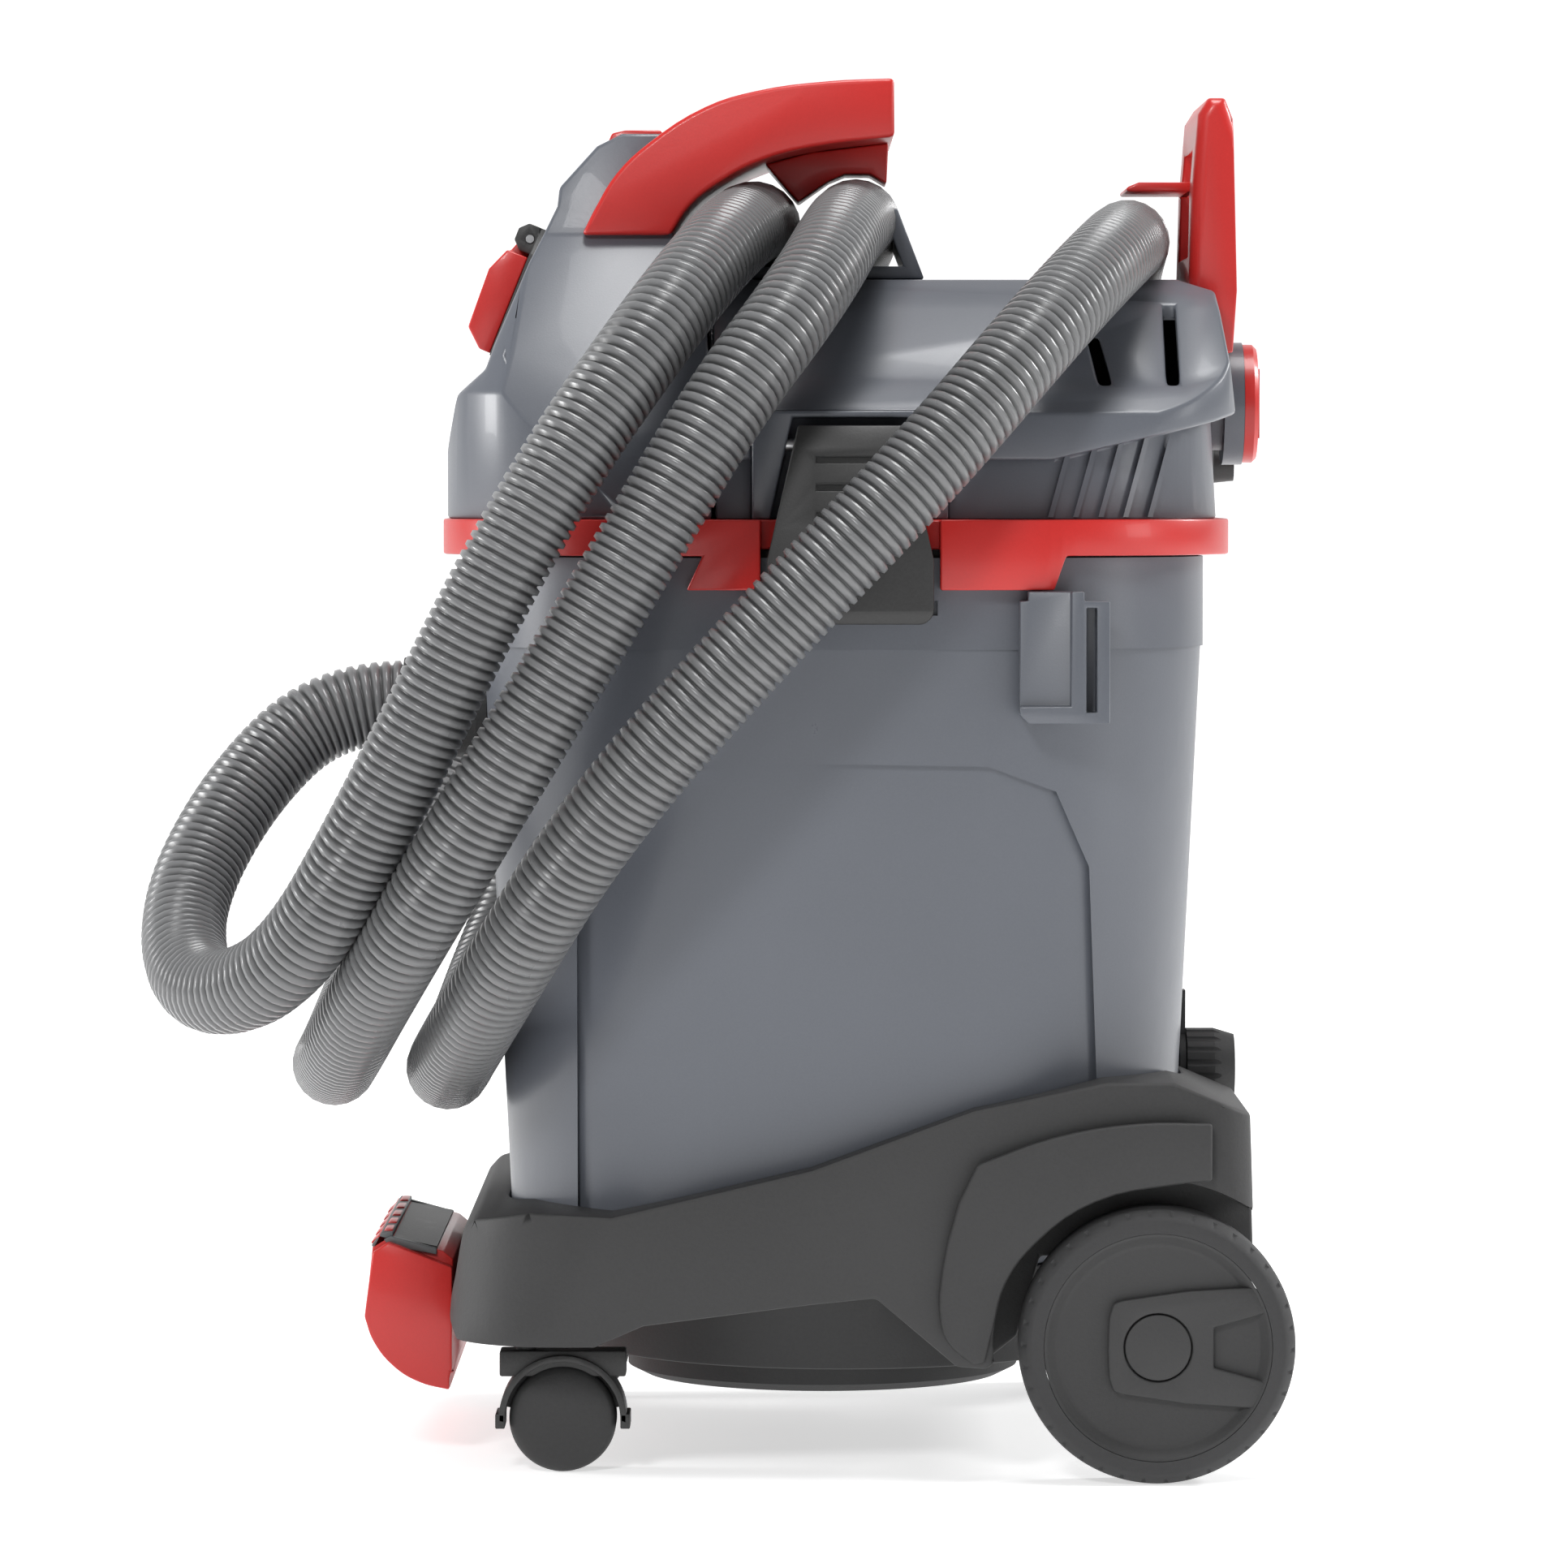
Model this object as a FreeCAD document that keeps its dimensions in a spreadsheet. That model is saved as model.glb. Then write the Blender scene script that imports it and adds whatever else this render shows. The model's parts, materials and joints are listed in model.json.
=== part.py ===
"""Shop vacuum on wheels: one parametric document, and one STEP file for each piece.

Frame: X runs from the front bumper (-X) to the rear wheels (+X), Y across, Z up from the floor.
The origin is on the floor under the middle of the machine. All sizes are in millimetres.
"""
import FreeCAD, Part
import os
import re
from math import cos, pi, radians, sin, tan

import Sketcher
from FreeCAD import Placement, Rotation, Vector

doc = FreeCAD.newDocument("ShopVacuum")

SIZES = {
    # Tank: a rounded square bucket, drafted from its seam down to its foot.
    "tank_axis": 11.5, "tank_half": 173.0, "tank_corner": 105.0, "tank_wall": 4.0,
    "foot_half": 160.0, "foot_z": 118.0, "sump_half": 118.0, "sump_z": 90.0, "tank_z": 52.0,
    "seam_z": 391.0, "rim_tall": 43.0, "lid_tall": 18.0, "rim_wall": 7.0, "panel_depth": 3.0,
    # Red band that the head stands on.
    "band_out": 13.0, "band_side": 11.0, "band_drop": 16.0,
    # Head: heights are above the lid plane.
    "head_top": 115.0, "head_wall": 5.0, "base_tall": 50.0, "tower_top": 185.0, "tower_half": 80.0,
    "handle_half": 86.0, "post_half": 62.0,
    # Latches, one on each side.
    "latch_width": 78.0, "latch_drop": 49.0, "latch_tall": 94.0,
    "latch_gap": 0.8, "latch_pin_radius": 3.0, "pin_play": 0.05,
    # Wheels and casters.
    "wheel_radius": 65.0, "wheel_width": 34.0, "wheel_x": 147.0, "wheel_out": 196.0,
    "axle_radius": 6.0, "well_gap": 12.0, "hub_radius": 16.0,
    "caster_radius": 25.5, "caster_width": 26.0, "caster_trail": 18.0, "caster_x": 151.0,
    "caster_y": 138.0, "stem_radius": 5.0, "caster_axle": 3.0, "hood_gap": 2.5, "hood_wall": 2.5,
    # Chassis.
    "flank_y": 187.0, "chassis_wall": 6.0, "deck_thick": 6.0, "tank_play": 1.0,
    "pan_radius": 96.0, "pan_low": 31.0,
    # Front bumper.
    "bumper_half": 97.0, "bumper_wall": 5.0,
    # Suction hose and its fittings.
    "hose_radius": 20.5, "inlet_drop": 30.0, "inlet_radius": 28.0, "cuff_radius": 25.0,
    "cuff_length": 44.0,
    # Motor, filter and float, all inside.
    "motor_radius": 58.0, "shaft_radius": 5.0, "impeller_radius": 54.0, "running_play": 0.05,
    "filter_radius": 78.0, "filter_tall": 150.0, "float_radius": 20.0,
    # Blower port, socket, knob and drain.
    "port_radius": 30.0, "port_rise": 56.0, "drain_radius": 19.0, "drain_z": 181.0,
    "socket_width": 58.0, "knob_radius": 18.0,
    # Gaps between pieces that touch or slide.
    "seat": 0.1,
}

# Places that follow from the sizes, so that a taller or wider bucket carries all that stands on it.
LEVELS = {
    "rim_z": "(seam_z + rim_tall)", "lid_z": "(seam_z + rim_tall + lid_tall)",
    "latch_low": "(seam_z + rim_tall + lid_tall - latch_drop)",
    "latch_high": "(seam_z + rim_tall + lid_tall - latch_drop + latch_tall)",
    "inlet_z": "(seam_z - inlet_drop)", "port_z": "(seam_z + rim_tall + lid_tall + port_rise)",
    # The drain's seat, on the drafted rear wall, clear of it as high up as its strap reaches.
    "drain_out": "(foot_half + (tank_half - foot_half) * (drain_z + drain_radius + 19 - foot_z)"
                 " / (seam_z - foot_z) - 0.8)",
}

sheet = doc.addObject("Spreadsheet::Sheet", "Sizes")
for row, (alias, value) in enumerate(SIZES.items(), start=1):
    sheet.set(f"A{row}", alias)
    sheet.set(f"B{row}", str(value))
    sheet.setAlias(f"B{row}", alias)
doc.recompute()

nodes = []


def linked(text):
    """Turn size and level names into references to the sheet, for setExpression."""
    text = re.sub(r"[a-z_]+", lambda word: LEVELS.get(word[0], word[0]), str(text))
    return re.sub(r"[a-z_]+", lambda word: f"Sizes.{word[0]}" if word[0] in SIZES else word[0], text)


def size(text):
    """The value in millimetres of an expression in size names."""
    return float(sheet.evalExpression(linked(text)))


def node(item, label, at=("tank_axis", 0, 0), turn=None):
    """Name a sub-part, place it by expressions, and keep it for export."""
    item.Label = label
    if turn is not None:
        item.Placement = Placement(Vector(), turn)
    for axis, place in zip("xyz", at):
        item.setExpression(f"Placement.Base.{axis}", linked(place))
    nodes.append(item)
    return item


def feature(label, shape, at=("tank_axis", 0, 0)):
    """A sub-part whose shape comes from Part functions."""
    item = doc.addObject("Part::Feature", label)
    item.Shape = shape
    item.Placement = Placement(Vector(*[size(place) for place in at]), Rotation())
    item.Label = label
    nodes.append(item)
    return item


# Sketch helpers: every corner is held by two expressions.

def new_sketch(body, role, start=0):
    """A sketch on one of the body's origin planes, moved along the plane's normal."""
    sketch = body.newObject("Sketcher::SketchObject", body.Name + "_sketch")
    plane = next(item for item in body.Origin.OriginFeatures if item.Role == role)
    sketch.AttachmentSupport = [(plane, "")]
    sketch.MapMode = "FlatFace"
    sketch.setExpression("AttachmentOffset.Base.z", linked(start))
    return sketch


def hold(sketch, geometry, vertex, corner):
    """Hold one vertex at a corner given as two expressions."""
    for kind, place in zip(("DistanceX", "DistanceY"), corner):
        number = sketch.addConstraint(Sketcher.Constraint(kind, -1, 1, geometry, vertex, size(place)))
        sketch.setExpression(f"Constraints[{number}]", linked(place))


def draw_outline(sketch, corners):
    """A closed outline of straight lines."""
    places = [Vector(size(x), size(y), 0) for x, y in corners]
    first = sketch.GeometryCount
    count = len(places)
    for index in range(count):
        sketch.addGeometry(Part.LineSegment(places[index], places[(index + 1) % count]))
    for index in range(count):
        sketch.addConstraint(Sketcher.Constraint(
            "Coincident", first + index, 2, first + (index + 1) % count, 1))
        hold(sketch, first + index, 1, corners[index])


def draw_circle(sketch, centre, radius):
    """A circle with its centre and radius held by expressions."""
    place = Vector(size(centre[0]), size(centre[1]), 0)
    number = sketch.addGeometry(Part.Circle(place, Vector(0, 0, 1), size(radius)))
    hold(sketch, number, 3, centre)
    rule = sketch.addConstraint(Sketcher.Constraint("Radius", number, size(radius)))
    sketch.setExpression(f"Constraints[{rule}]", linked(radius))


def new_body(label):
    return doc.addObject("PartDesign::Body", label)


def add_revolution(body, corners, kind="Revolution"):
    """Turn an outline of (radius, height) corners about the body's Z axis."""
    sketch = new_sketch(body, "XZ_Plane")
    draw_outline(sketch, corners)
    turned_piece = body.newObject(f"PartDesign::{kind}", f"{body.Name}_{kind}")
    turned_piece.Profile = sketch
    turned_piece.ReferenceAxis = (sketch, ["V_Axis"])
    turned_piece.Angle = 360
    return turned_piece


def add_pad(body, role, draw, start, depth, kind="Pad", middle=False):
    """Pad or pocket what draw() puts on a sketch; a pocket runs the same way as a pad would."""
    sketch = new_sketch(body, role, start)
    draw(sketch)
    raised = body.newObject(f"PartDesign::{kind}", f"{body.Name}_{kind}")
    raised.Profile = sketch
    raised.setExpression("Length", linked(depth))
    if middle:
        raised.Midplane = True
    elif kind == "Pocket":
        raised.Reversed = True
    return raised


def add_rounding(body, radius, chosen, kind="Fillet"):
    """Round or chamfer the edges of the body's tip for which chosen(edge) is true."""
    doc.recompute()
    tip = body.Tip
    names = [f"Edge{number}" for number, edge in enumerate(tip.Shape.Edges, start=1) if chosen(edge)]
    rounded = body.newObject(f"PartDesign::{kind}", f"{body.Name}_{kind}")
    rounded.Base = (tip, names)
    rounded.setExpression("Radius" if kind == "Fillet" else "Size", linked(radius))
    return rounded


def turned(label, corners, at=("tank_axis", 0, 0), turn=None):
    """A piece turned about its own axis."""
    body = new_body(label)
    add_revolution(body, corners)
    return node(body, label, at, turn)


def plate(label, role, corners, start, depth, at=("tank_axis", 0, 0), turn=None, middle=False):
    """A piece with one flat outline and one thickness."""
    body = new_body(label)
    add_pad(body, role, lambda sketch: draw_outline(sketch, corners), start, depth, middle=middle)
    return node(body, label, at, turn)


# Solid helpers for the moulded shells.

def rounded_wire(low_x, high_x, half_y, corner, height):
    """A rounded rectangle, level, from low_x to high_x and half_y to each side."""
    points = []
    for centre, start in (((high_x - corner, half_y - corner), 0),
                          ((low_x + corner, half_y - corner), 90),
                          ((low_x + corner, corner - half_y), 180),
                          ((high_x - corner, corner - half_y), 270)):
        points.append([Vector(centre[0] + corner * cos(radians(start + step)),
                              centre[1] + corner * sin(radians(start + step)), height)
                       for step in (0, 45, 90)])
    edges = []
    for index, (begin, middle, end) in enumerate(points):
        edges.append(Part.Arc(begin, middle, end).toShape())
        following = points[(index + 1) % 4][0]
        if end.distanceToPoint(following) > 1e-6:
            edges.append(Part.LineSegment(end, following).toShape())
    return Part.Wire(edges)


def loft(sections):
    """A closed solid through level rounded rectangles."""
    return Part.makeLoft([rounded_wire(*section) for section in sections], True, True)


def prism(points, plane, low, high):
    """Extrude a closed outline: plane XZ runs along Y, YZ along X, XY along Z."""
    spots = {"XZ": lambda a, b: Vector(a, low, b), "YZ": lambda a, b: Vector(low, a, b),
             "XY": lambda a, b: Vector(a, b, low)}[plane]
    corners = [spots(*point) for point in points]
    way = {"XZ": Vector(0, 1, 0), "YZ": Vector(1, 0, 0), "XY": Vector(0, 0, 1)}[plane]
    return Part.Face(Part.makePolygon(corners + corners[:1])).extrude(way * (high - low))


def block(low_x, high_x, low_y, high_y, low_z, high_z):
    return Part.makeBox(high_x - low_x, high_y - low_y, high_z - low_z, Vector(low_x, low_y, low_z))


def rod(radius, start, end):
    """A round bar between two points."""
    begin, finish = Vector(*start), Vector(*end)
    return Part.makeCylinder(radius, begin.distanceToPoint(finish), begin, finish - begin)


def softened(shape, radius, chosen):
    """Round the edges for which chosen(edge) is true."""
    return shape.makeFillet(radius, [edge for edge in shape.Edges if chosen(edge)])


def mirrored(shape):
    """The same shape on the other side of the machine."""
    return shape.mirror(Vector(), Vector(0, 1, 0))


def both_sides(shape):
    return Part.makeCompound([shape, mirrored(shape)])


def side_name(side):
    return "near" if side < 0 else "far"


# ---------------------------------------------------------------- tank

half = size("tank_half")
wall = size("tank_wall")
corner = size("tank_corner")
seam_z = size("seam_z")
rim_z = size("rim_z")
lid_z = size("lid_z")


def tank_form(inset):
    """The tank's outer form, shrunk all round by inset."""
    levels = (("sump_half", size("tank_z") + inset), ("sump_half", size("sump_z") + inset / 2),
              ("foot_half", size("foot_z")), ("tank_half", size("seam_z") + (0 if inset <= 0 else 1)))
    sections = []
    for name, level in levels:
        reach = size(name) - inset
        round_by = reach - 1 if name == "sump_half" else corner - inset - (half - size(name)) / 2
        sections.append((-reach, reach, reach, round_by, level))
    return loft(sections)


def panel_prism(grow):
    """The arched side panel's outline, run right across the tank."""
    low, front, back, top = size("sump_z"), -126 - grow, 118 + grow, 338 + grow
    arch = [(front, low), (front, top - 26), (front + 24, top - 8), (front + 70, top),
            (back - 50, top - 2),
            (back - 18, top - 14), (back - 2, top - 50), (back + 6, low)]
    return prism(arch, "XZ", -2 * half, 2 * half)


def tank_skin(inset, depth):
    """The tank's form with the panel sunk into both sides by depth."""
    sunk = panel_prism(inset).cut(tank_form(inset + depth))
    centre_strip = block(-2 * half, 2 * half, -half + corner / 2, half - corner / 2, 0, lid_z)
    return tank_form(inset).cut(sunk.cut(centre_strip))


depth = size("panel_depth")
inlet_hole = rod(size("inlet_radius") - 3, (-half - 20, 0, size("inlet_z")),
                 (-half + 40, 0, size("inlet_z")))
drain_hole = rod(size("drain_radius") - 7, (half - 30, 0, size("drain_z")),
                 (half + 10, 0, size("drain_z")))
feature("tank", tank_skin(0, depth).cut(tank_skin(wall, depth)).cut(inlet_hole).cut(drain_hole))

rim_wall = size("rim_wall")
rim_out = half + 1.2
rim = loft([(-rim_out, rim_out, rim_out, corner, seam_z), (-rim_out, rim_out, rim_out, corner, rim_z)])
rim_bore = half - rim_wall
latch_half = size("latch_width") / 2
latch_mid = 3
catch_z = size("latch_low") + 4
catch = block(latch_mid - latch_half - 2, latch_mid + latch_half + 2, half - 1.8, half + 5, catch_z,
              catch_z + 7)
feature("tank_rim",
        rim.cut(both_sides(catch)).cut(loft([(-rim_bore, rim_bore, rim_bore, corner - rim_wall,
                                              seam_z - 1),
                                             (-rim_bore, rim_bore, rim_bore, corner - rim_wall, rim_z + 1)])))

gasket_in = rim_bore + 1
gasket_out = rim_bore + rim_wall - 1
gasket = loft([(-gasket_out, gasket_out, gasket_out, corner - 2, rim_z),
               (-gasket_out, gasket_out, gasket_out, corner - 2, rim_z + 4)])
feature("lid_gasket", gasket.cut(loft([(-gasket_in, gasket_in, gasket_in, corner - rim_wall, rim_z - 1),
                                       (-gasket_in, gasket_in, gasket_in, corner - rim_wall,
                                        rim_z + 5)])))

# The red band hangs over the rim; its sides drop lower in the middle, and stop at each latch.
band_half = half + size("band_side")
band_front = -half - size("band_out") - 6
band_back = half + size("band_out")
band_low = lid_z - 17 - size("band_drop")
band = loft([(band_front, band_back, band_half, corner + 4, band_low),
             (band_front, band_back, band_half, corner + 4, lid_z)])
inner = half + 1.2 + size("seat")
band = band.cut(loft([(-inner, inner, inner, corner, band_low - 1),
                      (-inner, inner, inner, corner, rim_z + 4)]))
opening = half - rim_wall - 4
band = band.cut(loft([(-opening, opening, opening, corner - 12, rim_z + 3),
                      (-opening, opening, opening, corner - 12, lid_z + 1)]))
drop_front = latch_mid - latch_half - 30
drop_back = latch_mid + latch_half + 62
edge_z = lid_z - 17
for outline in ([(band_front - 5, band_low - 1), (drop_front - 8, band_low - 1), (drop_front, edge_z),
                 (band_front - 5, edge_z)],
                [(drop_back - 6, band_low - 1), (band_back + 5, band_low - 1), (band_back + 5, edge_z),
                 (drop_back, edge_z)]):
    band = band.cut(prism(outline, "XZ", -2 * half, 2 * half))
bay = block(latch_mid - latch_half - 3, latch_mid + latch_half + 3, inner - 0.2, band_half + 5,
            band_low - 5, lid_z + 1)
feature("lid_band", band.cut(both_sides(bay)))


# ---------------------------------------------------------------- head, heights above the lid plane

head_wall = size("head_wall")
base_tall = size("base_tall")
head_top = size("head_top")
tower_top = size("tower_top")
tower_half = size("tower_half")
head_y = half - 8
bay_y = half - 14


def head_base_form(inset):
    """The lower head: a drafted rounded ring of wall, open above."""
    above = 0.2 if inset > 0 else 0
    return loft([(-half - 13 + inset, half + 8 - inset, head_y - 3 - inset, corner - inset, -above),
                 (-half - 11 + inset, half + 5 - inset, head_y - 13 - inset, corner - 14 - inset,
                  base_tall + above)])


def dome_form(inset):
    """The rear cover: a crowned box, lower towards its sides, over the motor."""
    side = [(-62, base_tall - 22), (-62, head_top - inset), (half - 12, head_top - inset),
            (half + 6 - inset, head_top - 6 - inset),
            (half + 14 - inset, base_tall), (half + 2 - inset, base_tall - 4), (98, base_tall - 22)]
    profile = [(1, base_tall - 24), (4, base_tall), (32, head_top - 47), (65, head_top - 15 - inset),
               (95, head_top + 1 - inset)]
    front = [(inset + step - head_y, level) for step, level in profile]
    front += [(head_y - step - inset, level) for step, level in reversed(profile)]
    plan = loft([(-100, half + 15 - inset, head_y - inset, 62, base_tall - 30),
                 (-100, half + 15 - inset, head_y - inset, 62, head_top + 5)])
    return prism(side, "XZ", -half, half).common(prism(front, "YZ", -half, 2 * half)).common(plan)


def tower_form(inset):
    """The front tower: a sloping face with two steps, narrowing towards the handle."""
    side = [(-half - 17 + inset, 0), (-half - 17 + inset, 31), (-half - 11 + inset, 59),
            (-half + 3 + inset, 71),
            (-half + 7 + inset, 83), (-half + 23 + inset, 123), (-half + 36 + inset, 150),
            (-half + 37 + inset, 159),
            (-half + 55 + inset, 179 - inset), (-half + 67 + inset, tower_top - inset),
            (-86, tower_top - inset),
            (-82 - inset, 138), (-74 - inset, head_top + 8), (-66 - inset, head_top - 8),
            (-62 - inset, base_tall), (-62 - inset, 0)]
    flare = head_y - tower_half
    profile = [(0, 0), (4, 30), (0.45 * flare, 78), (flare, 136), (flare + 8, tower_top)]
    front = [(inset + step - head_y, level) for step, level in profile]
    front += [(head_y - step - inset, level) for step, level in reversed(profile)]
    plan = loft([(-half - 17 + inset, 40, head_y - inset, 92, -1),
                 (-half - 17 + inset, 40, head_y - inset, 92, 60),
                 (-half + 3 + inset, 40, tower_half + 20 - inset, 60, 130),
                 (-half + 20 + inset, 40, tower_half - inset, 40, tower_top + 1)])
    return prism(side, "XZ", -half, half).common(prism(front, "YZ", -2 * half, half)).common(plan)


head_at = ("tank_axis", 0, "lid_z")
tower = tower_form(0)
dome = dome_form(0)
base = head_base_form(0).cut(head_base_form(head_wall)).cut(block(-2 * half, -60, -half, half, -1,
                                                                  base_tall + 1))
seat = size("seat")
latch_bay = block(latch_mid - latch_half - 7 - seat, latch_mid + latch_half + 7 + seat, bay_y - 12 - seat,
                  half + 20, -1,
                  size("latch_high") - lid_z + 6 + seat)
port_z = size("port_z - lid_z")
port_hole = rod(size("port_radius - 7") + seat, (half - 20, 0, port_z), (half + 20, 0, port_z))
gland_hole = rod(9 + seat, (half - 20, 45, 26), (half + 20, 45, 26))
bay_wall = block(latch_mid - latch_half - 11, latch_mid + latch_half + 11, bay_y - 16, half, 0,
                 base_tall).common(head_base_form(0))
base = base.fuse(both_sides(bay_wall)).cut(both_sides(latch_bay)).cut(port_hole).cut(gland_hole)
feature("head_base", base, head_at)

# Slanted ribs fan out along each side of the base, under the cover's rear edge.
rib_room = head_base_form(-2.2).cut(head_base_form(0)).common(block(90, half + 20, head_y - 40, half, 1,
                                                                    base_tall - 2))
ribs = [prism([(foot, 1), (foot + 2.5, 1), (foot + 16.5, base_tall), (foot + 14, base_tall)], "XZ", 0,
              half) for foot in range(96, 156, 12)]
rib_set = Part.makeCompound(ribs).common(rib_room).cut(dome_form(0))
feature("vent_ribs", both_sides(rib_set), head_at)

# The cover stands on the base; two upright slots on each side let the motor's cooling air in.
base_room = head_base_form(-size("seat")).common(block(-2 * half, 2 * half, -half, half, -1, base_tall))
shell = dome.cut(dome_form(head_wall)).cut(base_room)
slots = []
for low_x, high_x, low, high, lean in ((121, 127, 63, 86, -5), (153, 159, 63, 108, 0)):
    upright = [(low_x, low), (high_x, low), (high_x + lean, high), (low_x + lean, high)]
    slots.append(prism(upright, "XZ", head_y - 70, head_y + 5))
for slot in slots:
    shell = shell.cut(both_sides(slot))
shell = shell.cut(both_sides(latch_bay)).cut(port_hole)
feature("rear_cover", shell, head_at)

tower_shell = tower.cut(tower_form(head_wall)).cut(both_sides(latch_bay))
feature("front_tower", tower_shell, head_at)

handle_half = size("handle_half")
hose_radius = size("hose_radius")

# The red arch: it rises from the tower's crown, passes over two turns of hose, and ends square.
arch = [(-125, -49), (-87, 0), (-58, 12), (-30, 19), (-2, 24), (25, 26), (25, -2), (-15, -7), (-38, -13),
        (-58, -23), (-73, -35),
        (-84, -49)]
arch_form = prism([(x, tower_top + rise) for x, rise in arch], "XZ", -handle_half, handle_half)
arch_form = softened(arch_form, 5, lambda edge: edge.CenterOfMass.z > tower_top + 3
                     and abs(abs(edge.CenterOfMass.y) - handle_half) < 0.01)
tower_seat = tower_form(-size("seat"))
feature("carry_handle", arch_form.cut(tower_seat), head_at)

# A wedge under the arch keeps the two turns apart.
keeper = [(-37, -12.8), (-21, -31), (-14, -26), (-6, -20.5), (2, -17.2), (14, -17.2), (22, -22),
          (23, -2.4), (-15, -7)]
feature("hose_keeper", prism([(x, tower_top + rise) for x, rise in keeper], "XZ", -26, 26).cut(arch_form),
        head_at)

# Grey trough on the cover that the turns lie in, with a rib between them and a slanted end wall.
trough = [(-58, 0), (40, 0), (27, 34), (19, 34), (30, 6), (-17, 6), (-19, 14), (-22, 14), (-24, 6),
          (-58, 6)]
plate("hose_trough", "XZ_Plane", [(x, f"head_top + 1 + seat + {rise}") for x, rise in trough], "-48",
      "96", head_at)

# Rear post with a lip that reaches forward over the third turn.
post_half = size("post_half")
post = [(half - 6, head_top - 35), (half + 16, head_top - 35), (half + 18, head_top - 5),
        (half + 16, head_top + 78),
        (half + 12, head_top + 88), (half + 4, head_top + 88), (half - 1, head_top + 80),
        (half - 4, head_top + 43), (half - 5, head_top)]
post_form = prism(post, "XZ", -post_half, post_half)
window = prism([(-post_half + 20, head_top + 12), (post_half - 20, head_top + 12),
                (post_half - 24, head_top + 64),
                (-post_half + 24, head_top + 64)], "YZ", 0, 2 * half)
post_form = softened(post_form, 6, lambda edge: abs(abs(edge.CenterOfMass.y) - post_half) < 0.01
                     and edge.CenterOfMass.z > head_top + 60).cut(window)
lip = [(half - 34, head_top + 46), (half - 28, head_top + 48.5), (half, head_top + 48.5),
       (half, head_top + 44), (half - 34, head_top + 44)]
lip_form = prism(lip, "XZ", -30, 40).cut(block(half - 3, 2 * half, -28, 38, 0, tower_top))
collar_room = rod(size("port_radius") + 0.5, (half, 0, port_z), (2 * half, 0, port_z))
feature("rear_post", post_form.fuse(lip_form).cut(dome_form(-seat)).cut(collar_room), head_at)

# Blower port, facing backwards, with a bayonet cap.
backwards = Rotation(Vector(0, 1, 0), 90)
port_at = ("tank_axis + tank_half + 8", 0, "port_z")
turned("blower_collar",
       [("port_radius - 12", -8), ("port_radius - 7", -8), ("port_radius - 7", 6.3), ("port_radius", 6.3),
        ("port_radius", 16), ("port_radius - 12", 16)], port_at, backwards)
cap = new_body("blower_cap")
add_revolution(cap,
               [(0, -4), ("port_radius - 12 - seat - 0.2", -4),
                ("port_radius - 12 - seat - 0.2", "16 + 2 * seat"),
                ("port_radius - 1", "16 + 2 * seat"), ("port_radius - 1", 21),
                ("port_radius - 3", 23), (0, 23)])
add_pad(cap, "XY_Plane", lambda sketch: draw_outline(sketch, [(-17, -3), (17, -3), (17, 3), (-17, 3)]),
        22.9, 2)
node(cap, "blower_cap", port_at, backwards)

# Socket on the tower's slope: black base with hinge lugs, red flap, pin, and the knob beside it.
slope = Vector(16, 0, 40).normalize()
slope_turn = Rotation(Vector(0, -1, 0), slope, Vector(-slope.z, 0, slope.x), "ZXY")
slope_at = ("tank_axis - tank_half + 15", 0, "lid_z + 103")
socket_half = "socket_width / 2"
hinge_y, hinge_z = 33, 7

socket = new_body("socket_base")
add_pad(socket, "XY_Plane", lambda sketch: draw_outline(sketch, [
    (f"-{socket_half}", -27), (socket_half, -27), (socket_half, 26), ("0.3 * socket_width", 40),
    ("-0.3 * socket_width", 40), (f"-{socket_half}", 26)]), "seat", 4)
add_pad(socket, "XY_Plane", lambda sketch: draw_circle(sketch, (0, 0), 17), 4, 6)
add_pad(socket, "XY_Plane", lambda sketch: draw_circle(sketch, (0, 0), 14), 1, 20, "Pocket")
for low in (-20, 12.4):
    add_pad(socket, "YZ_Plane", lambda sketch: draw_outline(sketch, [
        (hinge_y - 7, 3.9), (hinge_y + 7, 3.9), (hinge_y + 7, hinge_z + 3), (hinge_y + 3, hinge_z + 7),
        (hinge_y - 3, hinge_z + 7), (hinge_y - 7, hinge_z + 3)]), low, 7.6)
add_pad(socket, "YZ_Plane", lambda sketch: draw_circle(sketch, (hinge_y, hinge_z), 2), -30, 60, "Pocket")
add_pad(socket, "XY_Plane",
        lambda sketch: draw_outline(sketch, [(-12.4, 26), (12.4, 26), (12.4, 41), (-12.4, 41)]),
        -1, 6, "Pocket")
node(socket, "socket_base", slope_at, slope_turn)

flap = new_body("socket_flap")
flap_low = "4 + 2 * seat + 0.2"
add_pad(flap, "YZ_Plane", lambda sketch: draw_outline(sketch, [
    (-26, flap_low), (-26, 10), (-18, 19), (12, 20), (24, 15), (24, flap_low)]), "-26", 52)
add_pad(flap, "XY_Plane",
        lambda sketch: draw_outline(sketch, [(-22, -22), (22, -22), (22, 20), (-22, 20)]),
        "4", 10.5, "Pocket")
add_pad(flap, "YZ_Plane", lambda sketch: draw_outline(sketch, [
    (22, flap_low), (hinge_y - 3, "4 + 2 * seat + 0.2"), (hinge_y + 3, 4.8), (hinge_y + 5, hinge_z),
    (hinge_y + 3, hinge_z + 5),
    (hinge_y - 3, hinge_z + 5), (22, 15)]), -12, 24)
add_pad(flap, "YZ_Plane", lambda sketch: draw_circle(sketch, (hinge_y, hinge_z), "2 + pin_play"), -30, 60,
        "Pocket")
node(flap, "socket_flap", slope_at, slope_turn)

pin = new_body("flap_pin")
add_pad(pin, "YZ_Plane", lambda sketch: draw_circle(sketch, (hinge_y, hinge_z), 2), -21, 42)
node(pin, "flap_pin", slope_at, slope_turn)

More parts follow.
